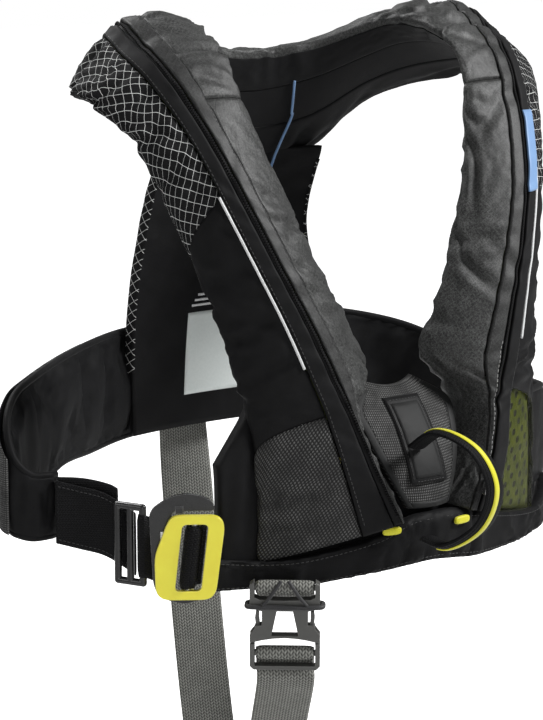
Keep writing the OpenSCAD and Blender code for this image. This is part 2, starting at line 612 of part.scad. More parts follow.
strap_points = [[-20, 151, 128, 0], [-20, 151, 84, -6], [-26, 132, 10, -30], [-34, 108, -70, crotch_yaw],
    [-44, 76, -150, crotch_yaw], [-58, 30, -225, crotch_yaw], [-70, -15, -crotch_drop + 6, crotch_yaw],
    [-79, -48, -205, crotch_yaw], [-84, -68, -130, crotch_yaw], [-93, -90, -85, crotch_yaw],
    concat(clip_point([0, 8.5, -14]), crotch_yaw), concat(clip_point([0, 6.2, -1]), crotch_yaw),
    concat(clip_point([0, 5, 5]), crotch_yaw)];
module crotch_strap() color(grey_web)
    webbing(concat(smooth(strap_points, 3), fold(plug_bar_z, -10, 250)), crotch_w);
module strap_patch() color(black)
    translate([-20, 157.5, 112]) rotate([90, 0, 0]) linear_extrude(2) square([62, 44], center = true);

// ---- inflation gear inside the wearer's left lobe ----

gas_pos = [80, -105.5, 76];
gas_lean = [1, -3, 0];
module at_gas() translate(gas_pos) rotate(gas_lean) children();
neck_d = 12;
neck_l = 12;
neck_gap = 0.15;       // the neck screws into the body
module gas_cylinder() color(steel) at_gas() {
    cylinder(d = neck_d, h = neck_l);
    translate([0, 0, neck_l - 3]) cylinder(d1 = neck_d, d2 = cylinder_d, h = 8);
    translate([0, 0, neck_l + 5]) cylinder(d = cylinder_d, h = cylinder_l);
}
body_size = [27, 16, 20];
body_low = -22;        // underside of the body, from the cylinder's end
striker_d = 6;
striker_gap = 0.2;
module inflator_body() color(black) at_gas() difference() {
    union() {
        translate([-12, -9.5, body_low]) cube(body_size);
        translate([0, 0, -4]) cylinder(d = neck_d + 4, h = 9);
    }
    translate([0, 0, -7]) cylinder(d = neck_d + neck_gap, h = 14);
    translate([0, 0, body_low + 4]) cylinder(d = striker_d + striker_gap, h = body_size.z);
    translate([lever_x - 4, -3, body_low - 2]) cube([8, 6, 14]);
}
module firing_pin() color(steel) at_gas() translate([0, 0, -17]) {
    cylinder(d = striker_d, h = 6);
    translate([0, 0, 5.9]) cylinder(d = 2, h = 3.5);
}
lever_x = 12;
lever_w = 5;
lever_t = 3;
lever_l = 12;
module pull_lever() color(grey_plastic) at_gas() translate([lever_x, 0, -16]) {
    rotate([90, 0, 0]) cylinder(d = lever_w, h = lever_w, center = true);
    translate([-lever_t / 2, -lever_w / 2, -lever_l]) cube([lever_t, lever_w, lever_l]);
}
toggle_pos = [90, -98, 22];
toggle_d = 10;
toggle_l = 24;
module pull_toggle() color(yellow) translate(toggle_pos) {
    cylinder(d = toggle_d, h = toggle_l);
    translate([0, 0, toggle_l - 0.1]) cylinder(d = 1.6, h = 6);
}

tube_pos = [101, -100, 92];
tube_d = 10;
tube_bore = 6;
tube_l = 52;
cap_l = 8.5;
module at_tube() translate(tube_pos) children();
module oral_tube() color(black) at_tube() difference() {
    cylinder(d = tube_d, h = tube_l);
    translate([0, 0, -1]) cylinder(d = tube_bore, h = tube_l + 2);
}
module oral_cap() color(yellow) at_tube() translate([0, 0, -cap_l - 0.5]) {
    cylinder(d = tube_d + 1, h = cap_l);
    translate([0, 0, cap_l - 0.1]) cylinder(d = tube_bore - 0.1, h = 5);
}
whistle_pos = [-62, -112, 74];
whistle_d = 9;
whistle_l = 34;
module whistle() color(yellow) translate(whistle_pos) {
    cylinder(d = whistle_d, h = whistle_l);
    translate([-1.5, whistle_d / 2 - 0.5, whistle_l - 8]) cube([3, 5, 6]);
}
light_pos = [-92, -106, 74];
light_d = 17;
light_l = 24;
module rescue_light() color(white) translate(light_pos) {
    cylinder(d = light_d, h = light_l);
    translate([0, 0, light_l - 0.1]) cylinder(d = light_d - 5, h = 12);
}
lifting_pos = [-85, -106, 117];
lifting_size = [26, 14];
lifting_eye = [18, 6];
module lifting_loop() color(yellow)
    translate(lifting_pos) rotate([90, 0, 0]) linear_extrude(2) difference() {
        square(lifting_size, center = true);
        square(lifting_eye, center = true);
    }

cover_front_right();
cover_front_left();
cover_collar();
zip_flap_inner();
zip_flap_outer();
zip_chain();
zip_slider();
side_panel_right();
side_panel_left();
mesh_panel();
piping();
pocket_panel();
window();
liner();
liner_piping();
bladder();
centre_panel();
label_patch();
hem_band();
hem_tabs();
front_wing_right();
side_tab();
harness_webbing();
back_panel();
back_mesh();
back_print();
belt_pad();
belt_wing_panel();
reflective_patch();
belt_webbing();
belt_keeper();
ladder_adjuster();
plate_webbing();
buckle_plate();
buckle_latch();
buckle_frame();
webbing_pin();
front_webbing();
tether_loop();
tether_stripe();
crotch_socket();
crotch_anchor();
crotch_cord();
crotch_plug();
crotch_strap();
strap_patch();
prong_left();
prong_right();
inflator_body();
gas_cylinder();
firing_pin();
pull_lever();
pull_toggle();
oral_tube();
oral_cap();
whistle();
rescue_light();
lifting_loop();
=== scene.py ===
"""Looks of the inflatable life jacket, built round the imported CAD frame.

Lengths are in millimetres until a mesh is made. X is the wearer's left, -Y the front, Z up.
"""
import math

import bpy
import numpy as np
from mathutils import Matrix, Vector


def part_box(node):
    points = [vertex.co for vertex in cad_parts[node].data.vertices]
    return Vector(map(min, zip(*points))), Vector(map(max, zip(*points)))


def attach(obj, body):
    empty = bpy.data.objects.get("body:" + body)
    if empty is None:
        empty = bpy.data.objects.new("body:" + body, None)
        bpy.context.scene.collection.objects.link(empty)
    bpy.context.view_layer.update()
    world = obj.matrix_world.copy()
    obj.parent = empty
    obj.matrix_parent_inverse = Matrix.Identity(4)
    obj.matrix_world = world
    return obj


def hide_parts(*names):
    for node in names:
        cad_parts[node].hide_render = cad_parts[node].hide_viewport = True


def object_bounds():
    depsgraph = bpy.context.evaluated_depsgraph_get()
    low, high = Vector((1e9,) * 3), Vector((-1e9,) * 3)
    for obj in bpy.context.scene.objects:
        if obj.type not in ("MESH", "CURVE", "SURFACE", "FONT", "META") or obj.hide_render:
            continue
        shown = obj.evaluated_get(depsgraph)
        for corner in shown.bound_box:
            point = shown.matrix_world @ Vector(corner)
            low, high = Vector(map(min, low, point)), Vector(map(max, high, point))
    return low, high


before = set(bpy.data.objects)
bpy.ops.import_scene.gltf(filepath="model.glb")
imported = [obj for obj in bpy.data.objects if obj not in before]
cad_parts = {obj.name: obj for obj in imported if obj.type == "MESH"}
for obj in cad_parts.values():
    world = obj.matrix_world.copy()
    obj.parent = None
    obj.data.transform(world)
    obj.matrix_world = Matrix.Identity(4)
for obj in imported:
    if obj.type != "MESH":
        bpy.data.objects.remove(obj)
cad_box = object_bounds()

MM = 0.001
TAU = 2 * math.pi
rng = np.random.default_rng(7)

# ---- curves and the padded horseshoe ----


def catmull(points, u):
    """Points of a Catmull-Rom curve at the parameters u, one row for each."""
    points = np.asarray(points, float)
    last = len(points) - 1
    padded = np.vstack([2 * points[0] - points[1], points, 2 * points[-1] - points[-2]])
    u = np.asarray(u, float)
    i = np.clip(np.floor(u), 0, last - 1).astype(int)
    t = (u - i)[..., None]
    a, b, c, d = padded[i], padded[i + 1], padded[i + 2], padded[i + 3]
    cubic = (2 * a - 5 * b + 4 * c - d) * t**2 + (3 * b - 3 * c + d - a) * t**3
    return 0.5 * (2 * b + (c - a) * t + cubic)


def unit(v):
    return v / np.maximum(np.linalg.norm(v, axis=-1, keepdims=True), 1e-9)


def smoothstep(a, b, x):
    t = np.clip((x - a) / (b - a), 0, 1)
    return t * t * (3 - 2 * t)


# Inner edge, crest, outer edge, and depth behind them, from the back's centre to the front's end
STATIONS = np.array([
    [0, 76, 366, 0, 120, 332, 0, 110, 284, 7], [42, 69, 370, 62, 114, 346, 64, 108, 286, 7],
    [74, 47, 383, 108, 86, 372, 116, 89, 326, 7], [88, 22, 390, 145, 28, 394, 170, 42, 345, 7],
    [95, -16, 382, 148, -5, 382, 192, 6, 353, 7], [97, -42, 360, 143, -36, 362, 186, -18, 340, 7],
    [89, -58, 322, 131, -68, 322, 172, -38, 320, 7], [76, -74, 280, 118, -91, 280, 160, -54, 282, 7],
    [60, -83, 240, 103, -106, 240, 147, -68, 242, 7], [41, -91, 200, 86, -118, 200, 135, -80, 202, 8],
    [26, -93, 165, 71, -127, 162, 127, -89, 166, 12], [46, -110, 134, 60, -133, 136, 121, -97, 138, 20],
    [37, -124, 100, 48, -143, 100, 119, -103, 98, 24], [22, -131, 71, 33, -147, 68, 119, -104, 48, 24]], float)
LAST = len(STATIONS) - 1
BULGE = 1.3


def station(v):
    mirrored = STATIONS[1:3] * np.array([-1, 1, 1, -1, 1, 1, -1, 1, 1, 1])
    rows = np.vstack([mirrored[::-1], STATIONS])
    return catmull(rows, np.asarray(v) + 2)


def lobe_point(v, angle, out):
    """Point over the horseshoe at a station, an angle in degrees and a height over the covers."""
    v, angle, out = np.broadcast_arrays(np.asarray(v, float), angle, out)
    row = station(np.abs(v))
    inner, crest, outer, depth = row[..., 0:3], row[..., 3:6], row[..., 6:9], row[..., 9]
    width = np.linalg.norm(outer - inner, axis=-1)
    across = (outer - inner) / width[..., None]
    middle = np.sum((crest - inner) * across, axis=-1)
    rise = crest - inner - middle[..., None] * across
    height = np.linalg.norm(rise, axis=-1)
    ca, sa = np.cos(np.radians(angle)), np.sin(np.radians(angle))
    reach = np.where(ca > 0, middle, width - middle) + out
    s = middle - np.sign(ca) * reach * np.abs(ca) ** BULGE
    t = np.where(sa > 0, (height + out) * np.abs(sa) ** BULGE, -(depth + out) * np.abs(sa) ** 0.6)
    p = inner + s[..., None] * across + t[..., None] * rise / height[..., None]
    return p * np.stack([np.where(v < 0, -1, 1), np.ones_like(v), np.ones_like(v)], axis=-1)


# Lines along the horseshoe, as angles round its section in degrees
COVER_EDGE = -62
SEAM, GROOVE, FLAP, UNDER = 66, 83, 113, 242
WINDOW_EDGE = 167
# Seams across the horseshoe, as stations; a pair is an oblique seam, at the flap and at the outer edge
SHOULDER_SEAM = 5.4
MESH_END = (6.85, 7.9)
POCKET_TOP = (10.9, 11.6)
# Rough lengths on the cloth, in millimetres
STATION_MM = 40
DEGREE_MM = 0.75


def oblique(seam, angle):
    """Station of an oblique seam at an angle."""
    return seam[0] + (seam[1] - seam[0]) * (angle - FLAP) / (180 - FLAP)


# ---- making meshes ----

CORD_UP = np.array([0.13, 0.31, 0.94])  # leans a little, so that no cord runs along it
SIDES = ((-1, "right"), (1, "left"))


def new_object(name, verts, faces, uvs=None):
    mesh = bpy.data.meshes.new(name)
    mesh.from_pydata((np.asarray(verts) * MM).tolist(), [], faces)
    if uvs is not None:
        layer = mesh.uv_layers.new(name="length")
        index = np.zeros(len(mesh.loops), int)
        mesh.loops.foreach_get("vertex_index", index)
        layer.data.foreach_set("uv", np.asarray(uvs, float)[index].ravel())
    mesh.validate()
    mesh.shade_smooth()
    obj = bpy.data.objects.new(name, mesh)
    bpy.context.scene.collection.objects.link(obj)
    return obj


def grid_faces(rows, cols, start=0, flip=False):
    i = np.arange(rows - 1)[:, None] * cols + np.arange(cols - 1)[None, :] + start
    quads = np.stack([i, i + 1, i + cols + 1, i + cols], axis=-1).reshape(-1, 4)
    return quads[:, ::-1] if flip else quads


def spread(n, edge):
    """Steps from 0 to 1, with three close ones inside the edge width at each end."""
    near = np.array([0, 0.22, 0.6]) * edge
    return np.concatenate([near, np.linspace(edge, 1 - edge, n + 1), 1 - near[::-1]])


def border_roll(n, roll):
    """How far each row near an edge sinks, so that the fabric turns under."""
    drop = np.zeros(n)
    drop[:3] = np.array([1, 0.45, 0.1]) * roll
    drop[-3:] = drop[:3][::-1]
    return drop


def arc_length(points, axis=0):
    """Length travelled along one axis of a path or grid of points."""
    first = np.take(points, [0], axis=axis)
    return np.cumsum(np.linalg.norm(np.diff(points, axis=axis, prepend=first), axis=-1), axis=axis)


def two_sheets(name, top, low, uv):
    """Closed piece between two grids of points that are joined round their rim."""
    rows, cols = top.shape[:2]
    count = rows * cols
    far = (rows - 1) * cols
    loop = np.concatenate([np.arange(cols), np.arange(1, rows) * cols + cols - 1,
                           far + np.arange(cols - 2, -1, -1), np.arange(rows - 2, 0, -1) * cols])
    after = np.roll(loop, -1)
    rim = np.stack([loop, loop + count, after + count, after], axis=-1)
    faces = np.vstack([grid_faces(rows, cols), grid_faces(rows, cols, count, True), rim])
    verts = np.vstack([top.reshape(-1, 3), low.reshape(-1, 3)])
    return face_outward(new_object(name, verts, faces.tolist(), np.vstack([uv.reshape(-1, 2)] * 2)))


def shell(name, surface, us, vs, thick, roll=1.2, high=0.0):
    """Closed sheet of fabric over surface(u, v, out), with its edges rolled under."""
    u, v = np.meshgrid(us, vs, indexing="ij")
    drop = np.maximum(border_roll(len(us), roll)[:, None], border_roll(len(vs), roll)[None, :])
    top = surface(u, v, high - drop)
    low = surface(u, v, np.full_like(u, high - thick - roll))
    along, over = arc_length(top, 0), arc_length(top, 1)
    uv = np.stack([along.mean(axis=1)[:, None] + 0 * along, over - over[:, len(vs) // 2][:, None]], axis=-1)
    return two_sheets(name, top, low, uv)


def loft(name, rings, uv, closed=False):
    """Closed piece through a row of rings, with flat ends unless the row closes on itself."""
    rows, count = rings.shape[:2]
    index = np.arange(rows)[:, None] * count + np.arange(count)[None, :]
    if closed:
        index = np.vstack([index, index[:1]])
    after = np.roll(index, -1, axis=1)
    faces = np.stack([index[:-1], after[:-1], after[1:], index[1:]], axis=-1).reshape(-1, 4).tolist()
    if not closed:
        faces += [index[0, ::-1].tolist(), index[-1].tolist()]
    return face_outward(new_object(name, rings.reshape(-1, 3), faces, uv.reshape(-1, 2)))


def uv_grid(along, around):
    return np.stack(np.meshgrid(along, around, indexing="ij"), axis=-1)


def face_outward(obj):
    """Turns a closed mesh's faces outward if its volume comes out negative."""
    mesh = obj.data
    mesh.calc_loop_triangles()
    tri = np.zeros(len(mesh.loop_triangles) * 3, int)
    mesh.loop_triangles.foreach_get("vertices", tri)
    co = coords(obj)[tri].reshape(-1, 3, 3)
    if np.einsum("ij,ij->i", co[:, 0], np.cross(co[:, 1], co[:, 2])).sum() < 0:
        mesh.flip_normals()
    return obj


def coords(obj):
    co = np.zeros(len(obj.data.vertices) * 3)
    obj.data.vertices.foreach_get("co", co)
    return co.reshape(-1, 3)


def tube(name, points, radius, sides=10, closed=False):
    """Round cord through points."""
    points = np.asarray(points, float)
    tangent = unit(np.roll(points, -1, 0) - np.roll(points, 1, 0) if closed else np.gradient(points, axis=0))
    side = unit(np.cross(tangent, CORD_UP))
    top = np.cross(side, tangent)
    turn = np.linspace(0, TAU, sides, endpoint=False)
    spokes = np.cos(turn)[:, None] * side[:, None] + np.sin(turn)[:, None] * top[:, None]
    return loft(name, points[:, None] + radius * spokes, uv_grid(arc_length(points), turn * radius), closed)


def beads(name, centres, along, across, up, size):
    """Many small rounded blocks in one mesh, such as stitches or zip teeth."""
    turn = np.linspace(0, TAU, 6, endpoint=False)
    rings = [(-1, 0.35), (-0.7, 0.95), (0.7, 0.95), (1, 0.35)]
    shape = np.array([[x, r * math.cos(a), r * math.sin(a)] for x, r in rings for a in turn])
    shape = shape * np.asarray(size) / 2
    verts = centres[:, None] + shape[None, :, 0:1] * along[:, None] + shape[None, :, 1:2] * across[:, None] \
        + shape[None, :, 2:3] * up[:, None]
    faces = []
    for i in range(3):
        for k in range(6):
            m = (k + 1) % 6
            faces.append([i * 6 + k, i * 6 + m, i * 6 + 6 + m, i * 6 + 6 + k])
    faces += [[5, 4, 3, 2, 1, 0], [18, 19, 20, 21, 22, 23]]
    every = [[f + b * len(shape) for f in face] for b in range(len(centres)) for face in faces]
    return face_outward(new_object(name, verts.reshape(-1, 3), every))


def beads_on(name, path, normals, pitch, size):
    """Beads spaced evenly along a path of points with surface normals."""
    normals = np.broadcast_to(normals, path.shape)
    length = arc_length(path)
    stops = np.arange(pitch, length[-1] - pitch / 2, pitch)
    at = np.stack([np.interp(stops, length, path[:, k]) for k in range(3)], axis=-1)
    up = unit(np.stack([np.interp(stops, length, normals[:, k]) for k in range(3)], axis=-1))
    along = unit(np.gradient(at, axis=0))
    return beads(name, at, along, unit(np.cross(up, along)), up, size)


# ---- cloth ----


def inflate(obj, free, pressure, grow, cap, frames):
    """Lets the unpinned fabric of a closed mesh swell and wrinkle, and keeps the result.

    free is 0 at a pinned vertex and 1 at a loose one. cap is the furthest a point may move.
    """
    start = coords(obj)
    group = obj.vertex_groups.new(name="pin")
    for value in np.unique(np.round(1 - free, 2)):
        members = np.flatnonzero(np.round(1 - free, 2) == value)
        if value > 0:
            group.add(members.tolist(), float(value), "REPLACE")
    shaken = start + rng.normal(0, 0.25 * MM, start.shape) * free[:, None]
    obj.data.vertices.foreach_set("co", shaken.ravel())
    cloth = obj.modifiers.new("cloth", "CLOTH")
    settings = cloth.settings
    settings.quality = 6
    settings.mass = 0.2
    settings.tension_stiffness = settings.compression_stiffness = 20
    settings.shear_stiffness = 8
    settings.bending_stiffness = 0.6
    settings.use_pressure = True
    settings.uniform_pressure_force = pressure
    settings.shrink_min = -grow
    settings.vertex_group_mass = "pin"
    settings.effector_weights.gravity = 0
    cloth.collision_settings.use_collision = False
    scene = bpy.context.scene
    for number in range(1, frames + 1):
        scene.frame_set(number)
    graph = bpy.context.evaluated_depsgraph_get()
    result = np.array([v.co for v in obj.evaluated_get(graph).data.vertices])
    scene.frame_set(1)
    obj.modifiers.remove(cloth)
    obj.vertex_groups.clear()
    move = result - start
    size = np.linalg.norm(move, axis=1, keepdims=True)
    move = move * np.minimum(1, cap * MM / np.maximum(size, 1e-9)) * free[:, None]
    move = np.nan_to_num(move)
    obj.data.vertices.foreach_set("co", (start + move).ravel())
    obj.data.update()
    return start + move


# Wrinkles of the whole horseshoe: a closed tube swells between its sewn lines
RING_V = np.linspace(-LAST, LAST, 26 * 11 + 1)
RING_A = np.linspace(-118, 242, 85)


def seam_distance():
    """How loose each point of the horseshoe is: 0 on a sewn line and 1 well away from one."""
    v, a = np.meshgrid(RING_V, RING_A, indexing="ij")
    size = np.abs(v)
    lines = [np.abs(a - SEAM) / 9, np.abs(a - FLAP) / 9, np.abs(a - COVER_EDGE) / 10, np.abs(a - UNDER) / 26,
             np.abs(size - SHOULDER_SEAM) * STATION_MM / 9, (LAST - size) * STATION_MM / 12]
    for seam in (MESH_END, POCKET_TOP):
        lines.append(np.where(a > FLAP, np.abs(size - oblique(seam, a)) * STATION_MM / 9, 9))
    free = smoothstep(0, 1, np.minimum.reduce(lines))
    free[(a >= SEAM) & (a <= FLAP)] = 0.12
    free[(a > UNDER - 1) | (a < COVER_EDGE + 1)] = 0
    return free


def swell_horseshoe():
    """Displacement of every point of the horseshoe's tube after the cloth settles."""
    v, a = np.meshgrid(RING_V, RING_A, indexing="ij")
    points = lobe_point(v, a, -1.5)
    rows, cols = v.shape
    free = seam_distance()
    caps = [list(range(cols))[::-1], [(rows - 1) * cols + k for k in range(cols)]]
    last = np.arange(rows - 1) * cols + cols - 1
    close = np.stack([last, last - cols + 1, last + 1, last + cols], axis=-1)
    faces = grid_faces(rows, cols).tolist() + close.tolist() + caps
    obj = new_object("horseshoe_cloth", points.reshape(-1, 3), faces)
    face_outward(obj)
    start = coords(obj)
    moved = inflate(obj, free.ravel(), pressure=3.5, grow=0.07, cap=6.5, frames=16)
    bpy.data.objects.remove(obj)
    return ((moved - start) / MM).reshape(rows, cols, 3)


def crease_horseshoe(count=260):
    """Random folds of the outer cloth: narrow valleys between softly raised sides."""
    v, a = np.meshgrid(RING_V, RING_A, indexing="ij")
    s, t = v * STATION_MM, a * DEGREE_MM
    height = np.zeros_like(v)
    for _ in range(count):
        s0 = rng.uniform(-LAST, LAST) * STATION_MM
        t0 = rng.uniform(-60, 240) * DEGREE_MM
        lean = math.radians(90 + rng.normal(0, 32))
        length, width = rng.uniform(12, 34), rng.uniform(3.2, 6.0)
        shoulder = 1 + 0.7 * math.exp(-((abs(s0) - 130) / 70) ** 2)
        depth = rng.uniform(1.2, 3.4) * shoulder
        along = (s - s0) * math.cos(lean) + (t - t0) * math.sin(lean)
        across = (t - t0) * math.cos(lean) - (s - s0) * math.sin(lean) + 3 * np.sin(along / 14)
        x = across / width
        sides = 0.55 * np.exp(-((np.abs(x) - 1.7) ** 2))
        height += depth * (sides - np.exp(-x * x)) * np.exp(-((along / length) ** 2))
    out = unit(lobe_point(v, a, 1.0) - lobe_point(v, a, 0.0))
    pucker = 0.45 * np.sin(s / 1.9 + 2 * np.sin(s / 23)) * np.exp(-np.abs(a - SEAM) / 9)
    free = np.where((a >= SEAM) & (a <= FLAP), 0.35, seam_distance())
    return out * (np.clip(height, -6.0, 3.0) * free + pucker)[..., None]


SWELL = swell_horseshoe() + crease_horseshoe()
# The oral tube and its cap hold the cloth of the lobes' ends smooth
SWELL[np.ix_(np.abs(RING_V) > 11.0, RING_A > 195)] *= 0.3


def swell_at(v, angle):
    """Cloth displacement at stations and angles, by bilinear interpolation."""
    angle = (np.asarray(angle, float) + 118) % 360 - 118
    i = np.clip((v - RING_V[0]) / (RING_V[1] - RING_V[0]), 0, len(RING_V) - 1.001)
    j = np.clip((angle - RING_A[0]) / (RING_A[1] - RING_A[0]), 0, len(RING_A) - 1.001)
    i0, j0 = i.astype(int), j.astype(int)
    fi, fj = (i - i0)[..., None], (j - j0)[..., None]
    a = SWELL[i0, j0] * (1 - fi) * (1 - fj) + SWELL[i0 + 1, j0] * fi * (1 - fj)
    return a + SWELL[i0, j0 + 1] * (1 - fi) * fj + SWELL[i0 + 1, j0 + 1] * fi * fj


def lobe_surface(v, angle, out):
    return lobe_point(v, angle, out) + swell_at(v, angle)


def lobe_panel(name, v0, v1, a0, a1, step=2.6, thick=1.2, roll=1.3, high=0.0, w0=None, w1=None):
    """Panel of the horseshoe. Its ends may slant from v0, v1 at a0 to w0, w1 at a1."""
    w0 = v0 if w0 is None else w0
    w1 = v1 if w1 is None else w1
    rows = int(max(abs(v1 - v0), abs(w1 - w0)) * STATION_MM / step) + 2
    cols = int(abs(a1 - a0) * DEGREE_MM / step) + 3
    us = spread(rows, 1.6 * step / STATION_MM / max(abs(v1 - v0), 1) * 2)
    vs = spread(cols, 0.5 * 2.2 / max(abs(a1 - a0) * DEGREE_MM, 8) * 1.6)

    def at(u, w, out):
        v = (v0 + (w0 - v0) * w) * (1 - u) + (v1 + (w1 - v1) * w) * u
        return lobe_surface(v, a0 + (a1 - a0) * w, out)
    return shell(name, at, us, vs, thick, roll, high)


# ---- materials ----


class Shader:
    """A small helper that adds and links the nodes of one material."""

    def __init__(self, name):
        self.material = bpy.data.materials.new(name)
        self.material.use_nodes = True
        self.tree = self.material.node_tree
        self.bsdf = self.tree.nodes["Principled BSDF"]
        self.space = self.add("ShaderNodeTexCoord")

    def add(self, kind, **settings):
        node = self.tree.nodes.new(kind)
        for key, value in settings.items():
            setattr(node, key, value)
        return node

    def put(self, target, value):
        if isinstance(value, bpy.types.NodeSocket):
            self.tree.links.new(value, target)
        else:
            target.default_value = value

    def math(self, operation, a, b=0.0, c=0.0):
        node = self.add("ShaderNodeMath", operation=operation)
        for socket, value in zip(node.inputs, (a, b, c)):
            self.put(socket, value)
        return node.outputs[0]

    def uv(self, turn=0.0):
        """Lengths along and across the piece, in millimetres, turned by some degrees."""
        split = self.add("ShaderNodeSeparateXYZ")
        self.put(split.inputs[0], self.space.outputs["UV"])
        c, s = math.cos(math.radians(turn)), math.sin(math.radians(turn))
        x, y = split.outputs[0], split.outputs[1]
        u = self.math("ADD", self.math("MULTIPLY", x, c), self.math("MULTIPLY", y, s))
        v = self.math("SUBTRACT", self.math("MULTIPLY", y, c), self.math("MULTIPLY", x, s))
        return u, v

    def wave(self, x, pitch, phase=0.0):
        turns = self.math("MULTIPLY_ADD", x, TAU / pitch, phase)
        return self.math("MULTIPLY_ADD", self.math("SINE", turns), 0.5, 0.5)

    def line(self, x, pitch, width):
        """1 on thin lines repeated every pitch, 0 between them."""
        part = self.math("PINGPONG", x, pitch / 2)
        return self.math("LESS_THAN", part, width / 2)

    def noise(self, scale, detail=4.0, rough=0.6):
        node = self.add("ShaderNodeTexNoise")
        self.put(node.inputs["Vector"], self.space.outputs["Object"])
        node.inputs["Scale"].default_value = scale
        node.inputs["Detail"].default_value = detail
        node.inputs["Roughness"].default_value = rough
        return node.outputs["Fac"]

    def mix(self, factor, a, b):
        node = self.add("ShaderNodeMix", data_type="RGBA")
        self.put(node.inputs["Factor"], factor)
        self.put(node.inputs["A"], rgba(a))
        self.put(node.inputs["B"], rgba(b))
        return node.outputs["Result"]

    def ramp(self, value, low, high):
        node = self.add("ShaderNodeMapRange")
        self.put(node.inputs["Value"], value)
        node.inputs["From Min"].default_value = low
        node.inputs["From Max"].default_value = high
        return node.outputs["Result"]

    def bump(self, height, distance, strength=1.0, below=None):
        node = self.add("ShaderNodeBump")
        node.inputs["Strength"].default_value = strength
        node.inputs["Distance"].default_value = distance * MM
        self.put(node.inputs["Height"], height)
        if below is not None:
            self.put(node.inputs["Normal"], below)
        return node.outputs["Normal"]

    def round_edges(self, radius):
        node = self.add("ShaderNodeBevel", samples=6)
        node.inputs["Radius"].default_value = radius * MM
        return node.outputs["Normal"]

    def edge_mask(self, rounded):
        """1 where the rounded normal leaves the flat one, which is along an edge."""
        geometry = self.add("ShaderNodeNewGeometry")
        dot = self.add("ShaderNodeVectorMath", operation="DOT_PRODUCT")
        self.put(dot.inputs[0], rounded)
        self.put(dot.inputs[1], geometry.outputs["True Normal"])
        return self.ramp(dot.outputs["Value"], 0.99, 0.85)

    def finish(self, color, rough, normal=None, **inputs):
        self.put(self.bsdf.inputs["Base Color"], rgba(color))
        self.put(self.bsdf.inputs["Roughness"], rough)
        if normal is not None:
            self.put(self.bsdf.inputs["Normal"], normal)
        for key, value in inputs.items():
            self.put(self.bsdf.inputs[key.replace("_", " ")], value)
        return self.material


def rgba(color):
    return color if isinstance(color, bpy.types.NodeSocket) else (*color, 1.0)


def cloth_material(name, dark, light, pitch, relief, rough, sheen=0.03, mottle=0.5):
    """Plain woven cloth: crossed threads, soft mottling, sheen and faint creases."""
    s = Shader(name)
    u, v = s.uv()
    threads = s.math("MULTIPLY", s.wave(u, pitch), s.wave(v, pitch))
    mottling = s.noise(90, 6)
    weave = s.math("MULTIPLY", threads, 1 - mottle)
    tone = s.math("MULTIPLY_ADD", s.ramp(mottling, 0.35, 0.65), mottle, weave)
    creases = s.bump(s.noise(38, 5, 0.65), 0.6, 0.55)
    normal = s.bump(threads, relief, 0.7, creases)
    roughness = s.math("MULTIPLY_ADD", mottling, 0.25, rough - 0.12)
    return s.finish(s.mix(tone, dark, light), roughness, normal, Sheen_Weight=sheen, Specular_IOR_Level=0.15)


def ripstop(name, light):
    """Charcoal ripstop: fine threads, a slightly heavier grid, a fine pale speckle that is painted sheen with some
    dust, and a slight shader sheen.
    """
    s = Shader(name)
    u, v = s.uv(45)
    threads = s.math("MULTIPLY", s.wave(u, 0.9), s.wave(v, 0.9))
    grid = s.math("MAXIMUM", s.line(u, 3.2, 0.35), s.line(v, 3.2, 0.35))
    # fine pale speckle: painted sheen of the fibres, with some dust
    dust_and_sheen = s.ramp(s.noise(760, 3, 0.8), 0.42, 0.60)
    patches = s.ramp(s.noise(32, 5, 0.6), 0.3, 0.75)
    tone = s.math("MULTIPLY", s.math("MULTIPLY_ADD", dust_and_sheen, 0.7, s.math("MULTIPLY", grid, 0.25)),
                  s.math("MULTIPLY_ADD", patches, 0.7, 0.3))
    creases = s.bump(s.noise(45, 6, 0.7), 0.9, 0.6)
    normal = s.bump(s.math("ADD", threads, grid), 0.12, 0.6, creases)
    return s.finish(s.mix(tone, (0.003, 0.003, 0.003), (light, light * 1.03, light)), 0.5, normal,
                    Sheen_Weight=0.04, Specular_IOR_Level=0.42)


def reflective_mesh():
    """Black mesh cloth with thin white reflective threads in a diamond grid."""
    s = Shader("reflective_mesh")
    u, v = s.uv(38)
    grid = s.math("MAXIMUM", s.line(u, 6.0, 0.30), s.line(v, 6.0, 0.30))
    weave = s.math("MULTIPLY", s.wave(u, 1.1), s.wave(v, 1.1))
    normal = s.bump(s.math("MULTIPLY_ADD", grid, 2.0, weave), 0.15, 0.8, s.bump(s.noise(40, 5), 0.6, 0.5))
    color = s.mix(grid, s.mix(weave, (0.001, 0.001, 0.0015), (0.006, 0.006, 0.0065)), (0.72, 0.73, 0.72))
    return s.finish(color, s.math("MULTIPLY_ADD", grid, -0.3, 0.7), normal, Specular_IOR_Level=0.2)


def ribbed(name, light=0.19, pitch=1.5, turn=0.0):
    """Heavy cloth with fine ribs and a dotted cross weave."""
    s = Shader(name)
    u, v = s.uv(turn)
    rib = s.wave(v, pitch)
    dots = s.math("MULTIPLY", rib, s.wave(u, pitch * 1.3))
    tone = s.math("MULTIPLY", dots, s.math("MULTIPLY_ADD", s.ramp(s.noise(60, 5), 0.3, 0.7), 1.1, 0.2))
    normal = s.bump(s.math("ADD", rib, dots), 0.22, 0.8, s.bump(s.noise(30, 4), 0.8, 0.5))
    color = s.mix(tone, (0.003, 0.003, 0.003), (light, light, light * 0.98))
    return s.finish(color, 0.6, normal, Specular_IOR_Level=0.3)


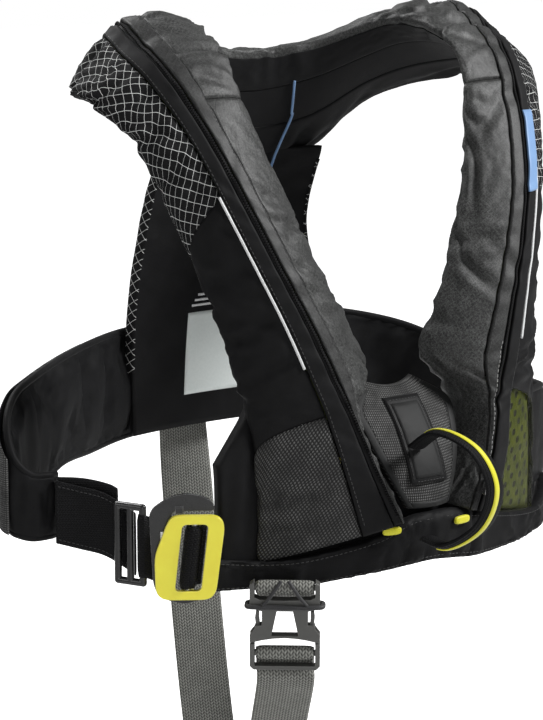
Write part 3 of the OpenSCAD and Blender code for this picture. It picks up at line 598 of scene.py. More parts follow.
def webbing_material(name, dark, light, pitch=2.4, rib=2.0, relief=0.35):
    """Polyester webbing: ribs along its length broken by a herringbone of crossing threads."""
    s = Shader(name)
    u, v = s.uv()
    lean = s.math("PINGPONG", v, rib)
    twill = s.wave(s.math("ADD", u, s.math("MULTIPLY", lean, 1.0)), pitch)
    ribs = s.wave(v, rib)
    height = s.math("MULTIPLY_ADD", twill, 0.6, s.math("MULTIPLY", ribs, 0.5))
    tone = s.math("MULTIPLY", height, s.math("MULTIPLY_ADD", s.noise(160, 4), 0.7, 0.55))
    normal = s.bump(height, relief, 0.9)
    return s.finish(s.mix(tone, dark, light), 0.62, normal, Specular_IOR_Level=0.12)


def hard_material(name, color, rough, metallic=0.0, edge=0.5, grain=0.15, coat=0.0, edge_highlight_and_wear=None):
    """Moulded plastic or metal: rounded edges, faint grain, and paler edges that are painted edge highlight
    together with wear.
    """
    s = Shader(name)
    soft = s.round_edges(edge)
    grit = s.noise(900, 3)
    shade = s.ramp(s.noise(40, 5), 0.3, 0.7)
    pale = tuple(min(1.0, c * 1.25 + 0.02) for c in color)
    tone = s.mix(s.math("MULTIPLY", shade, 0.5), color, pale)
    if edge_highlight_and_wear:
        # paler edges: a painted edge highlight, mixed with wear
        lit_and_worn_edge = s.math("MULTIPLY", s.edge_mask(soft), s.ramp(s.noise(140, 4), 0.3, 0.6))
        tone = s.mix(lit_and_worn_edge, tone, edge_highlight_and_wear)
    normal = s.bump(grit, grain * 0.2, 0.4, soft)
    roughness = s.math("MULTIPLY_ADD", s.noise(120, 4), 0.2, rough - 0.1)
    return s.finish(tone, roughness, normal, Metallic=metallic, Coat_Weight=coat, Coat_Roughness=0.2)


def clear_film():
    """Flexible clear film with a soft shine and slight ripples."""
    s = Shader("clear_film")
    ripples = s.bump(s.noise(60, 4), 0.5, 0.5)
    return s.finish((0.05, 0.06, 0.01), 0.12, ripples, Alpha=0.05, Specular_IOR_Level=0.3)


def dotted_bladder():
    """Olive coated cloth under a net of staggered dark dots."""
    s = Shader("dotted_bladder")
    u, v = s.uv()
    pitch = 13.0
    turns_u = s.math("MULTIPLY", u, TAU / pitch)
    turns_v = s.math("MULTIPLY", v, TAU / (pitch * 1.1))
    field = s.math("MULTIPLY", s.math("SINE", turns_u), s.math("SINE", turns_v))
    dots = s.ramp(field, 0.38, 0.52)
    stain = s.ramp(s.noise(110, 6, 0.7), 0.3, 0.75)
    olive = s.mix(stain, (0.018, 0.024, 0.0004), (0.085, 0.10, 0.002))
    normal = s.bump(s.math("SUBTRACT", s.noise(200, 4), dots), 0.5, 0.6)
    return s.finish(s.mix(dots, olive, (0.004, 0.005, 0.002)), 0.5, normal, Specular_IOR_Level=0.2)


def plain_trim(name, color, rough=0.55, pitch=0.8):
    """Evenly coloured tape, piping or thread with a fine weave."""
    s = Shader(name)
    u, v = s.uv()
    threads = s.math("MULTIPLY", s.wave(u, pitch), s.wave(v, pitch))
    dark = tuple(c * 0.72 for c in color)
    tone = s.math("MULTIPLY_ADD", threads, 0.6, s.math("MULTIPLY", s.noise(130, 4), 0.5))
    return s.finish(s.mix(tone, dark, color), rough, s.bump(threads, 0.1, 0.7), Sheen_Weight=0.15)


def printed_panel():
    """Pale screen print on black cloth."""
    s = Shader("printed_panel")
    weave = s.noise(500, 3)
    return s.finish(s.mix(weave, (0.74, 0.80, 0.78), (0.86, 0.91, 0.89)), 0.6, s.bump(weave, 0.1, 0.5))


MATERIALS = {
    "ripstop": ripstop("ripstop", 0.11),
    "ripstop_flap": ripstop("ripstop_flap", 0.055),
    "zip_tape": cloth_material("zip_tape", (0.002, 0.002, 0.0023), (0.009, 0.009, 0.0098), 0.7, 0.06, 0.6),
    "reflective_mesh": reflective_mesh(),
    "soft_black": cloth_material("soft_black", (0.002, 0.002, 0.0023), (0.008, 0.008, 0.0088), 1.0, 0.08, 0.62,
                                 sheen=0.012),
    "ribbed_fabric": ribbed("ribbed_fabric"),
    "pocket_fabric": ribbed("pocket_fabric", 0.13, 1.7, 62),
    "smooth_grey": cloth_material("smooth_grey", (0.012, 0.012, 0.012), (0.030, 0.031, 0.031), 0.8, 0.05, 0.55),
    "label": cloth_material("label", (0.006, 0.006, 0.006), (0.015, 0.015, 0.016), 0.9, 0.04, 0.45,
                            mottle=0.2),
    "white_trim": plain_trim("white_trim", (0.82, 0.83, 0.83), 0.35),
    "blue_trim": plain_trim("blue_trim", (0.20, 0.36, 0.64), 0.45),
    "clear_window": clear_film(),
    "bladder_fabric": dotted_bladder(),
    "yellow_trim": plain_trim("yellow_trim", (0.80, 0.76, 0.02), 0.5, 1.2),
    "pale_print": printed_panel(),
    "grey_webbing": webbing_material("grey_webbing", (0.028, 0.028, 0.026), (0.33, 0.333, 0.307)),
    "black_webbing": webbing_material("black_webbing", (0.001, 0.001, 0.0012), (0.010, 0.010, 0.011),
                                      pitch=2.0, rib=1.6),
    # the pale edge colours of black steel, yellow metal and grey plastic are painted edge highlight together with
    # wear
    "black_steel": hard_material("black_steel", (0.006, 0.006, 0.0065), 0.28, 0.4, 0.6, coat=0.5,
                                 edge_highlight_and_wear=(0.4, 0.4, 0.4)),
    "yellow_metal": hard_material("yellow_metal", (0.88, 0.77, 0.045), 0.34, 0.1, 1.2, coat=0.25,
                                  edge_highlight_and_wear=(0.95, 0.86, 0.25)),
    "bright_steel": hard_material("bright_steel", (0.62, 0.63, 0.64), 0.3, 1.0, 0.4),
    "grey_plastic": hard_material("grey_plastic", (0.075, 0.075, 0.07), 0.42, 0.0, 0.9, grain=0.3,
                                  edge_highlight_and_wear=(0.22, 0.22, 0.21)),
    "elastic": plain_trim("elastic", (0.02, 0.02, 0.022), 0.6, 1.4),
    "black_plastic": hard_material("black_plastic", (0.02, 0.02, 0.02), 0.5),
    "yellow_plastic": hard_material("yellow_plastic", (0.75, 0.62, 0.05), 0.4),
    "black_rubber": hard_material("black_rubber", (0.015, 0.015, 0.015), 0.7, grain=0.4),
    "clear_lamp": hard_material("clear_lamp", (0.8, 0.82, 0.82), 0.2, coat=0.6),
    "grey_thread": plain_trim("grey_thread", (0.5, 0.5, 0.49), 0.6, 0.5),
    "dark_thread": plain_trim("dark_thread", (0.03, 0.03, 0.03), 0.6, 0.5),
}


def dress(obj, material, *nodes, body="vest", slot=None):
    """Gives a piece its material and its body, and hides the CAD nodes it stands for. slot is not used."""
    obj.data.materials.clear()
    obj.data.materials.append(MATERIALS[material])
    if nodes:
        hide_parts(*nodes)
    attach(obj, body)


def stitch(name, line, normals, slot, pitch=3.4, size=(2.3, 0.5, 0.4), thread="dark_thread",
           body="vest"):
    """A row of stitches along a line."""
    dress(beads_on(name, line, normals, pitch, size), thread, body=body, slot=slot)


# ---- the horseshoe's pieces ----

END_V = LAST + 0.15
SEAM_GAP = 0.002
LINING_HIGH = 0.9  # lining sewn over a cover stands this far above it


def covers():
    """Ripstop covers of both lobes and the collar."""
    rows = (("front_right", -END_V, -SHOULDER_SEAM - 0.01), ("collar", -SHOULDER_SEAM, SHOULDER_SEAM),
            ("front_left", SHOULDER_SEAM + 0.01, END_V))
    for name, v0, v1 in rows:
        dress(lobe_panel("ripstop_cover_" + name, v0, v1, COVER_EDGE, SEAM), "ripstop", "cover_" + name)


def surface_up(v, angle):
    """Directions away from the cloth along a line on it."""
    return unit(lobe_surface(v, angle, 3.0) - lobe_surface(v, angle, 0.0))


def zip_parts():
    """Two flaps beside the zip's groove, the zip in it, and their stitches."""
    flaps = (("inner", SEAM + 0.6, GROOVE, "ripstop_flap"), ("outer", 180 - GROOVE, FLAP - 0.6, "zip_tape"))
    for name, a0, a1, material in flaps:
        flap = lobe_panel("tape_zip_flap_" + name, -END_V, END_V, a0, a1, thick=1.6, roll=1.1, high=1.6)
        dress(flap, material, "zip_flap_" + name, slot="zip_tape")
    bed = lobe_panel("zip_bed", -END_V, END_V, GROOVE + 1, 179 - GROOVE, thick=1.4, roll=0.3, high=-0.6)
    dress(bed, "zip_tape", "zip_chain")
    v = np.linspace(-LAST, LAST, 900)
    for side, word in SIDES:
        line = lobe_surface(v, 90 + side * 1.2, 0.2)
        dress(beads_on("zip_teeth_" + word, line, surface_up(v, 90), 1.9, (1.2, 1.9, 1.5)), "zip_tape")
    rows = (("inner", SEAM + 2.6, -LAST, LAST, "dark_thread"),
            ("outer", FLAP - 2.6, -LAST, LAST, "dark_thread"),
            ("left_white", GROOVE - 1.5, 9.6, 12.2, "grey_thread"))
    for name, angle, v0, v1, thread in rows:
        v = np.linspace(v0, v1, 700)
        line = lobe_surface(v, angle, 1.65)
        stitch("stitches_" + name, line, surface_up(v, angle), "zip_tape", thread=thread)


def side_piece(name, side, top, bottom, a0, a1, **more):
    """Panel of one lobe's side between two slanting seams."""
    v0, w0 = (side * (oblique(top, a) + SEAM_GAP) for a in (a0, a1))
    v1, w1 = (side * (oblique(bottom, a) - SEAM_GAP) for a in (a0, a1))
    return lobe_panel(name, v0, v1, a0, a1, w0=w0, w1=w1, **more)


def side_panels():
    """Panels under the covers: soft sides, ribbed pocket, clear pane and shoulder mesh."""
    end = (END_V, END_V)
    for side, word in SIDES:
        soft = side_piece("soft_side_" + word, side, MESH_END, POCKET_TOP, FLAP, UNDER)
        dress(soft, "soft_black", "side_panel_" + word)
    soft = side_piece("soft_end_left", 1, POCKET_TOP, end, WINDOW_EDGE + 0.6, UNDER, thick=0.7, roll=0.5)
    dress(soft, "soft_black")
    pocket = side_piece("ribbed_pocket", -1, POCKET_TOP, end, FLAP, UNDER, high=0.4)
    dress(pocket, "pocket_fabric", "pocket_panel", slot="ribbed_fabric")
    pane = side_piece("clear_pane", 1, POCKET_TOP, end, FLAP + 0.6, WINDOW_EDGE, thick=0.5, roll=0.5, high=0.3)
    dress(pane, "clear_window", "window")
    near, far = MESH_END[0] - SEAM_GAP, oblique(MESH_END, UNDER) - SEAM_GAP
    mesh = lobe_panel("shoulder_mesh", -near, near, FLAP, UNDER, w0=-far, w1=far)
    dress(mesh, "reflective_mesh", "mesh_panel")


def linings():
    """Soft linings towards the wearer, and the white cords beside the pane."""
    low = lobe_panel("neck_lining", -4.3, 4.3, 184, UNDER + 2, high=LINING_HIGH)
    dress(low, "soft_black")
    high = lobe_panel("neck_lining_high", -4.9, 4.9, COVER_EDGE - 1, -24, high=LINING_HIGH)
    dress(high, "soft_black")
    back = lobe_panel("back_lining", -END_V, END_V, UNDER + 1.5, 297, step=4.0, thick=1.0, roll=0.6)
    dress(back, "soft_black", "liner")
    v = np.linspace(MESH_END[0], 9.7, 60)
    cord_angle = FLAP + 1.3
    dress(tube("cord_white_left", lobe_surface(v, cord_angle, 1.0), 0.95), "white_trim", "piping")
    dress(tube("cord_white_right", lobe_surface(-v, cord_angle, 1.0), 0.95), "white_trim")


def packed_bladder():
    """The folded bladder: a rolled tube inside the lobes, and a flap behind the window."""
    flap_from, flap_full, depth, flap_back = 8.6, 9.4, -5.2, -8.0
    v = np.linspace(-11, 13.12, 190)[:, None]
    flat = np.clip((v - flap_from) / (flap_full - flap_from), 0, 1)
    k = np.linspace(0, 1, 25)[None, :]
    angle = (4 + 172 * k) * (1 - flat) + (107 + 61 * k) * flat
    folds = 0.8 * np.sin(angle / 7) * (1 - flat)
    top = lobe_point(v, angle, depth + folds)
    rolled, flap = lobe_point(v, -angle, depth), lobe_point(v, angle, flap_back)
    low = rolled * (1 - flat[..., None]) + flap * flat[..., None]
    over = arc_length(top, 1)
    uv = np.stack([arc_length(top[:, 12])[:, None] + 0 * over, over], axis=-1)
    dress(two_sheets("folded_bladder", top, low, uv), "bladder_fabric", "bladder")


covers()
zip_parts()
side_panels()
linings()
packed_bladder()

# ---- straps and panels round the body ----


def ribbon(name, points, across, width, thick, cols=9, crown=0.0):
    """Flat webbing through points, with its width along the across vectors and rounded edges."""
    points = np.asarray(points, float)
    across = unit(np.broadcast_to(np.asarray(across, float), points.shape))
    up = unit(np.cross(across, unit(np.gradient(points, axis=0))))
    f = np.linspace(-1, 1, cols)
    edge = np.sqrt(np.clip(1 - np.abs(f) ** 8, 0, 1))
    half = thick * (0.46 * edge + 0.04) + crown * (1 - f**2)
    middle = points[:, None] + across[:, None] * (f * width / 2)[None, :, None]
    rise = up[:, None] * half[None, :, None]
    rings = np.concatenate([middle + rise, (middle - rise)[:, ::-1]], axis=1)
    return loft(name, rings, uv_grid(arc_length(points), np.concatenate([f, f[::-1]]) * width / 2))


def ring_solid(name, surface, us, cols):
    """Closed solid from surface(u, w), where w runs once round each section."""
    u, w = np.meshgrid(us, np.linspace(0, 1, cols, endpoint=False), indexing="ij")
    points = surface(u, w)
    along = arc_length(points[:, cols // 4])
    return loft(name, points, np.stack([along[:, None] + 0 * u, points[..., 2]], axis=-1))


def path_frame(path, u):
    """Points of a band's path and its outward directions."""
    d = catmull(path, u + 0.02) - catmull(path, u - 0.02)
    return catmull(path, u), unit(np.stack([d[..., 1], -d[..., 0], 0 * d[..., 0]], axis=-1))


def band(name, path, t, step=3.0, cols=36, side=0.0, first=0.0, last=None, edge=0.5, folds=0.0):
    """Upright padded band of thickness t along path rows of x, y, low z and high z."""
    path = np.asarray(path, float)
    last = len(path) - 1 if last is None else last
    rough = catmull(path[:, :2], np.linspace(first, last, 200))
    us = np.linspace(first, last, max(8, int(arc_length(rough)[-1] / step)))
    phase = rng.uniform(0, TAU, 4)

    def surface(u, w):
        p, normal = path_frame(path, u)
        f = 0.5 - 0.5 * np.cos(w * TAU)
        half = t / 2 * (edge + (1 - edge) * (1 - (2 * f - 1) ** 4))
        face = np.clip(np.sin(w * TAU) * 3, -1, 1)
        wave = np.sin(u * 5.1 + phase[0] + 2 * f) + 0.7 * np.sin(u * 9.7 + phase[1] - 3 * f)
        push = side + face * (half + folds * wave * (1 - (2 * f - 1) ** 2))
        z = p[..., 2] + (p[..., 3] - p[..., 2]) * f
        return np.stack([p[..., 0], p[..., 1], z], axis=-1) + normal * push[..., None]
    return ring_solid(name, surface, us, cols)


def band_line(path, f, side, last=None, n=260):
    """A line on a band at a share of its height, with the band's normals."""
    path = np.asarray(path, float)
    p, normal = path_frame(path, np.linspace(0, len(path) - 1 if last is None else last, n))
    return np.stack([p[:, 0], p[:, 1], p[:, 2] + (p[:, 3] - p[:, 2]) * f], axis=-1) + normal * side, normal


def puff(obj, cols, cap, outside=1.0):
    """Cloth settling of a ring solid whose top and bottom edges are sewn.

    outside is how freely the band's outer face may move, compared with its inner face.
    """
    count = len(obj.data.vertices)
    k = np.arange(count) % cols
    near = np.minimum.reduce([k, np.abs(k - cols // 2), cols - k])
    free = smoothstep(0, 4, near) * np.where(k < cols // 2, outside, 1.0)
    row = np.arange(count) // cols
    ends = np.minimum(row, row.max() - row)
    inflate(obj, free * smoothstep(0, 5, ends), pressure=3.0, grow=0.06, cap=cap, frames=12)
    return obj


def pad(name, centre, x, y, z, size, power=0.35, rows=12, cols=28):
    """Soft block with rounded edges: half-sizes along x, y and z directions."""
    def curl(angle):
        c, s = np.cos(angle), np.sin(angle)
        return np.sign(c) * np.abs(c) ** power, np.sign(s) * np.abs(s) ** power
    lat = np.linspace(-math.pi / 2 + 0.05, math.pi / 2 - 0.05, rows)
    lon = np.linspace(0, TAU, cols, endpoint=False)
    (cl, sl), (co, so) = curl(lat), curl(lon)
    half = np.asarray(size) / 2
    local = np.stack([cl[:, None] * co[None, :] * half[0], cl[:, None] * so[None, :] * half[1],
                      sl[:, None] * half[2] * np.ones((1, cols))], axis=-1)
    axes = np.stack([unit(np.asarray(v, float)) for v in (x, y, z)])
    return loft(name, np.asarray(centre, float) + local @ axes, local[..., :2])


# Bands: rows of x, y, low z and high z
HEM = [[-152, -91, 22, 46], [-122, -102, 22, 42], [-90, -118, 23, 43], [-45, -134, 28, 53], [-20, -138, 30, 64],
       [0, -139, 31, 66], [20, -138, 29, 65], [45, -134, 26, 59], [90, -119, 25, 48], [122, -103, 26, 44],
       [146, -84, 26, 50], [162, -66, 27, 54]]
HEM_BACK = [[-118, -96, 30, 60], [-90, -108, 30, 66], [-60, -118, 34, 80], [-30, -124, 36, 92], [0, -124, 38, 92],
            [28, -124, 36, 88], [60, -118, 34, 76], [92, -106, 30, 66], [122, -94, 30, 60]]
TAB_X = (-36, 21.5)


def hem():
    """Padded hem across the front, its gusset, and two small yellow tabs."""
    padding = band("hem_padding", HEM, 11, cols=32, folds=0.5)
    dress(puff(padding, 32, cap=1.6), "soft_black", "hem_band")
    dress(band("hem_gusset", HEM_BACK, 3.0, 5.0, 24, folds=0.8), "soft_black")
    for f, name in ((0.12, "low"), (0.88, "high")):
        line, normal = band_line(HEM, f, 5.4)
        stitch("hem_stitches_" + name, line, normal, "soft_black", size=(2.2, 0.5, 0.4))
    for number, x in enumerate(TAB_X):
        lean = math.radians(x / 3)
        along = (math.cos(lean), math.sin(lean), 0)
        outward = (-along[1], along[0], 0)
        centre = (x, -148.2 + 0.004 * x * x, 58)
        tab = pad(f"yellow_tab_{number}", centre, along, (0, 0, 1), outward, (14, 5.6, 3.6), 0.6)
        dress(tab, "yellow_trim", *(["hem_tabs"] if number == 0 else []))


# Chest panel: height, half width and y of its middle
PANEL_ROWS = [[69, 17, -137], [80, 23, -134], [100, 32, -127], [122, 39, -115], [136, 40, -104], [150, 20, -91]]


def panel_point(u, f, off):
    row = catmull(PANEL_ROWS, u)
    y = row[..., 2] + 5 * f**2 - off
    return np.stack([row[..., 1] * f, y, row[..., 0] - 0.8 * (1 - f**2) * u], axis=-1)


def chest_surface(u, v, off):
    belly = 0.9 * np.sin(np.pi * np.clip(u / 5, 0, 1)) * (1 - v**2)
    return panel_point(u, v, off + 4.4 + belly)


def centre_panel():
    """Ribbed panel over the zip's lower end, with smooth borders and a label."""
    base = shell("ribbed_chest", chest_surface, np.linspace(0, 5, 60), np.linspace(-1, 1, 50), 4.0, 1.0)
    dress(base, "ribbed_fabric", "centre_panel")
    borders = (("right", (0.05, 4.7, 50), (-1.0, -0.84, 9)), ("left", (0.05, 4.7, 50), (0.84, 1.0, 9)),
               ("low", (0.02, 0.45, 9), (-0.84, 0.84, 30)))
    for name, us, vs in borders:
        strip = shell("chest_border_" + name, chest_surface, np.linspace(*us), np.linspace(*vs), 1.0, 0.5, 0.6)
        dress(strip, "smooth_grey", slot="ribbed_fabric")
    u = np.linspace(0.3, 4.5, 160)
    for side, word in SIDES:
        line, below = chest_surface(u, side * 0.82, 0.5), chest_surface(u, side * 0.82, -1.5)
        stitch("chest_stitches_" + word, line, line - below, "ribbed_fabric", 3.2, (2.1, 0.5, 0.4))
    label_parts()


def label_surface(z, x, off):
    """Point over the chest panel at a height and a distance from its middle."""
    row = np.arange(len(PANEL_ROWS))
    u = np.interp(z, np.array(PANEL_ROWS)[:, 0] - 0.8 * row, row)
    middle = panel_point(u, 0 * u, 5.0)
    return np.stack([x + 0 * u, middle[..., 1] + (x / 15) ** 2 - off, z], axis=-1)


def label_parts():
    """Plain patch without lettering, with a raised field inside a sewn border."""
    base = shell("label_base", label_surface, np.linspace(86, 140, 24), np.linspace(-15, 15, 16), 1.4, 0.5, 2.3)
    dress(base, "label", "label_patch")
    field = shell("label_field", label_surface, np.linspace(89.5, 136.5, 20), np.linspace(-11.5, 11.5, 12),
                  0.8, 0.5, 3.0)
    dress(field, "smooth_grey", slot="label")
    corners = np.array([[87.6, -13.3], [138.4, -13.3], [138.4, 13.3], [87.6, 13.3], [87.6, -13.3]])
    for i in range(4):
        zx = np.linspace(corners[i], corners[i + 1], 40)
        line = label_surface(zx[:, 0], zx[:, 1], 2.35)
        stitch(f"label_stitches_{i}", line, (0.0, -1.0, 0.3), "label", 2.6, (1.7, 0.45, 0.35))


def wing_surface(u, f, off):
    """Soft panel from behind the right lobe's end to the side buckle."""
    near = lobe_point(-13.5 + 2.8 * u, 172, -7.0) + np.array([0, 5, 0])
    far = np.stack([-144 + 0 * u, -93 + 0 * u, 38 + 70 * u], axis=-1)
    fold = 1.3 * np.sin(f * 9 + 4 * u) * np.sin(np.pi * u) * np.sin(np.pi * f)
    puffed = 4 * (0.5 + 0.5 * (1 - (2 * u - 1) ** 4)) * smoothstep(0, 0.35, f)
    return near + (far - near) * f[..., None] - np.array([0, 1, 0]) * (off + puffed + fold)[..., None]


def front_wing():
    """Soft panel towards the side buckle, and the small blue tab on the left lobe."""
    wing = shell("soft_wing", wing_surface, np.linspace(0, 1, 40), np.linspace(0, 1, 34), 7.5, 1.0)
    dress(wing, "soft_black", "front_wing_right")
    tab = lobe_panel("blue_tab", 5.9, 7.2, 95, 112, step=2.2, thick=1.4, roll=0.5, high=3.0)
    dress(tab, "blue_trim", "side_tab")


# Back yoke: height, y, half width and x of its middle
BACK_ROWS = [[78, 125, 82, -2], [132, 124, 82, -3], [184, 120, 79, -5], [230, 116, 72, -6], [257, 112, 71, -3],
             [278, 106, 71, 0]]
PRINT_BARS = ((1.73, 0.9), (1.81, 0.82), (1.89, 0.72), (1.97, 0.6))


def back_surface(high):
    def surface(u, f, off):
        row = catmull(BACK_ROWS, u)
        quilt = 0.5 * np.sin(u * 7) * np.sin(f * 9)
        y = row[..., 1] - 9 * f**2 + high + off + quilt
        return np.stack([row[..., 3] + row[..., 2] * f, y, row[..., 0]], axis=-1)
    return surface


def print_surface(u, f, off):
    wide = 0.40 - 0.05 * (u - 0.45) / 1.2
    return back_surface(-0.45)(u, f * wide, -off)


def back_parts():
    """Back yoke: padding, mesh over it, pale print on its inner face, and a blue cord."""
    f = np.linspace(-1, 1, 60)
    padding = shell("back_padding", back_surface(5.6), np.linspace(0, 5.45, 70), f, 5.0, 0.6)
    dress(padding, "soft_black", "back_panel")
    mesh = shell("back_outer_mesh", back_surface(7.3), np.linspace(1.6, 4.95, 60), f, 0.8, 0.4)
    dress(mesh, "reflective_mesh", "back_mesh")
    u = np.linspace(0.9, 5.0, 90)
    for side, word in SIDES:
        edge = back_surface(3.4)(u, side + 0 * u, 0 * u) + np.array([side * 0.6, 0, 0])
        binding = ribbon("back_edge_mesh_" + word, edge, (side * 0.35, 0.94, 0.0), 9, 2.4, crown=0.6)
        dress(binding, "reflective_mesh")
    field = shell("print_field", print_surface, np.linspace(0.45, 1.64, 20), np.linspace(-1, 1, 24), 0.6, 0.1)
    dress(field, "pale_print", "back_print")
    for number, (u, wide) in enumerate(PRINT_BARS):
        us, vs = np.linspace(u, u + 0.035, 4), np.linspace(-wide, wide, 20)
        dress(shell(f"print_bar_{number}", print_surface, us, vs, 0.5, 0.05), "white_trim", slot="pale_print")
    over_lobe = lobe_point(np.full(10, 0.72), np.linspace(300, 250, 10), 2.3)
    cord = np.vstack([over_lobe, [[31, 104, 272], [33, 102, 248]]])
    cord = catmull(cord, np.linspace(0, len(cord) - 1, 70))
    dress(tube("blue_liner_cord", cord, 1.0), "blue_trim", "liner_piping")


# Bands round the waist: rows of x, y, low z and high z
BELT = [[121, -89, 52, 124], [158, -64, 50, 120], [180, -34, 22, 114], [189, 2, 30, 112], [182, 48, 46, 122],
        [150, 92, 62, 142], [100, 122, 72, 154], [50, 136, 77, 157], [0, 139, 77, 157], [-50, 136, 77, 157],
        [-91, 124, 77, 157], [-135, 94, 79, 158], [-177, 62, 82, 157], [-210, 40, 70, 152], [-235, 20, 60, 147],
        [-250, 4, 61, 133], [-252, -8, 59, 112], [-243, -15, 56, 100], [-230, -17, 56, 98], [-223, -13, 56, 97]]
STRAP = [[-231, -27, 53, 97], [-218, -35, 49, 93], [-205, -46, 45, 89], [-196, -57, 38, 82], [-190.5, -67, 32, 76]]
KEEPER = [[-231, -27, 54, 98], [-216, -36, 51, 97], [-204, -47, 48, 94], [-199, -52, 48, 91]]
HARNESS = [[-146, -70, 56, 101], [-125, -68, 60, 105], [-85, -82, 62, 107], [-43, -94, 62, 107], [0, -101, 62, 107],
           [43, -94, 62, 107], [85, -82, 62, 107], [125, -68, 58, 103]]


def belt_parts():
    """Padded belt with its binding, outer panel and reflective patch, and the webbing beside it."""
    padding = band("belt_padding", BELT, 7.6, 3.2, folds=0.6)
    dress(puff(padding, 36, cap=4.5, outside=0.3), "soft_black", "belt_pad")
    for f, name in ((0.0, "low"), (1.0, "high")):
        line, _ = band_line(BELT, f, 0.0)
        dress(tube("belt_binding_" + name, line, 2.6), "zip_tape", slot="soft_black")
    panel = band("belt_outer_panel", BELT, 1.8, 4.0, 24, side=6.2, first=11, last=16, edge=0.8)
    dress(panel, "ribbed_fabric", "belt_wing_panel")
    patch = [[*catmull(BELT, np.array([u]))[0][:2], 78, 118] for u in np.linspace(14.6, 15.2, 5)]
    dress(band("reflective_bar", patch, 0.8, 2.0, 16, side=7.6, edge=0.8), "white_trim", "reflective_patch")
    webbing = band("waist_webbing", STRAP, 2.4, 1.5, 24, last=3.8, edge=0.8)
    dress(webbing, "black_webbing", "belt_webbing", body="belt_strap")
    keeper = band("webbing_keeper", KEEPER, 4.6, 1.5, 30, side=-5.4, first=0.1, edge=0.6, folds=0.25)
    dress(keeper, "black_webbing", "belt_keeper", body="belt_strap")
    for f, name in ((0.08, "low"), (0.92, "high")):
        line, normal = band_line(STRAP, f, 1.35, 3.7, 80)
        stitch("strap_stitches_" + name, line, normal, "black_webbing", 3.0, (2.0, 0.5, 0.4),
               body="belt_strap")
    harness = band("harness_strap", HARNESS, 2.2, 4.0, 20, first=1.05, edge=0.8)
    dress(harness, "black_webbing", "harness_webbing")


def lifting_loop():
    """Sewn webbing eye for the rescue line."""
    low, high = np.array(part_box("lifting_loop")) / MM
    reach = (high - low) / 2 - 2.0
    turn = np.linspace(0, TAU, 80)
    x, z = (np.sign(f(turn)) * np.abs(f(turn)) ** 0.6 for f in (np.cos, np.sin))
    path = (low + high) / 2 + np.stack([reach[0] * x, 0 * turn, reach[2] * z], axis=-1)
    dress(ribbon("lifting_webbing", path, (0.0, 1.0, 0.0), 3.2, 3.4), "yellow_trim", "lifting_loop")


# Middle line of the safety loop, from its sewn end round to the other
LOOP = [[-10, -132, 110], [-9, -160, 126], [2, -186, 117], [12, -193, 92], [11, -182, 64], [-3, -165, 48],
        [-14.5, -152, 52]]
LOOP_ACROSS = unit(np.array([0.926, 0.323, -0.193]))


def safety_loop():
    """Black webbing loop with a yellow stripe inside and rounded edges."""
    points = catmull(LOOP, np.linspace(0.12, 5.9, 150))
    webbing = ribbon("loop_webbing", points, LOOP_ACROSS, 20, 3.0, 15, crown=1.0)
    dress(webbing, "black_webbing", "tether_loop", body="safety_loop")
    out = unit(np.cross(LOOP_ACROSS, np.gradient(points, axis=0)))
    line = (points - 2.75 * out - 1.5 * LOOP_ACROSS)[12:-14]
    stripe = ribbon("loop_stripe", line, LOOP_ACROSS, 6.2, 1.0, 7, crown=0.3)
    dress(stripe, "yellow_trim", "tether_stripe", body="safety_loop")
    for side, word in SIDES:
        edge = tube("loop_edge_" + word, points + side * 9.2 * LOOP_ACROSS, 1.3, 8)
        dress(edge, "black_webbing", body="safety_loop")


# Origins and turns of the side buckle and of the crotch clip
BUCKLE = np.array([-170.0, -98.0, 50.0])
BUCKLE_YAW = math.radians(-31.4)
BUCKLE_LEAN = math.radians(6.5)
LADDER_BAR = np.array([-192.2, -75.7, 57.0])
CLIP = np.array([-115.5, -131.0, -27.5])
CLIP_YAW = math.radians(-36)


def placed(points, origin, yaw):
    """Points of a buckle's own frame in the jacket's frame."""
    c, s = math.cos(yaw), math.sin(yaw)
    return origin + np.asarray(points, float) @ np.array([[c, s, 0], [-s, c, 0], [0, 0, 1]])


def side_buckle_webbing():
    """Webbing rolled round the buckle's bar, and the turn between its plate and the ladder."""
    axis = placed([math.sin(BUCKLE_LEAN), 0, math.cos(BUCKLE_LEAN)], np.zeros(3), BUCKLE_YAW)
    a = np.linspace(-1.2 * math.pi, 1.5 * math.pi, 70)
    r = np.linspace(3.9, 5.7, 70)
    roll = placed(np.stack([1.6 + r * np.cos(a), 4.5 + r * np.sin(a), 0 * a], axis=-1), BUCKLE, BUCKLE_YAW)
    dress(ribbon("front_webbing_roll", roll, axis, 43, 2.1, 13), "black_webbing", "front_webbing")
    tail = placed(np.linspace((2, 9.5, 0), (10.2, 9.5, 0), 10), BUCKLE, BUCKLE_YAW)
    dress(ribbon("front_webbing_tail", tail, axis, 42, 2.2, 13), "black_webbing")
    plate_bar = placed([-20.5, 12.7, 1.5], BUCKLE, BUCKLE_YAW)
    way = unit((plate_bar - LADDER_BAR) * np.array([1, 1, 0]))
    normal = np.array([-way[1], way[0], 0])
    a = np.linspace(-math.pi / 2, math.pi / 2, 16)[:, None]
    half_turn = np.cos(a) * way + np.sin(a) * normal
    far, near = plate_bar + 3.4 * half_turn, LADDER_BAR - 3.0 * half_turn
    path = np.vstack([near[-4:], far, near])
    path = catmull(path, np.linspace(0, len(path) - 1, 110))
    turn = ribbon("plate_webbing_turn", path, (0.0, 0.0, 1.0), 43, 1.7, 11)
    dress(turn, "black_webbing", "plate_webbing", body="side_plate")


def fold_points(z, a0, a1, n=30, radius=3.7):
    """Half circle of webbing round a bar of the clip."""
    a = np.radians(np.linspace(a0, a1, n))
    return np.stack([0 * a, radius * np.cos(a), z + radius * np.sin(a)], axis=-1)


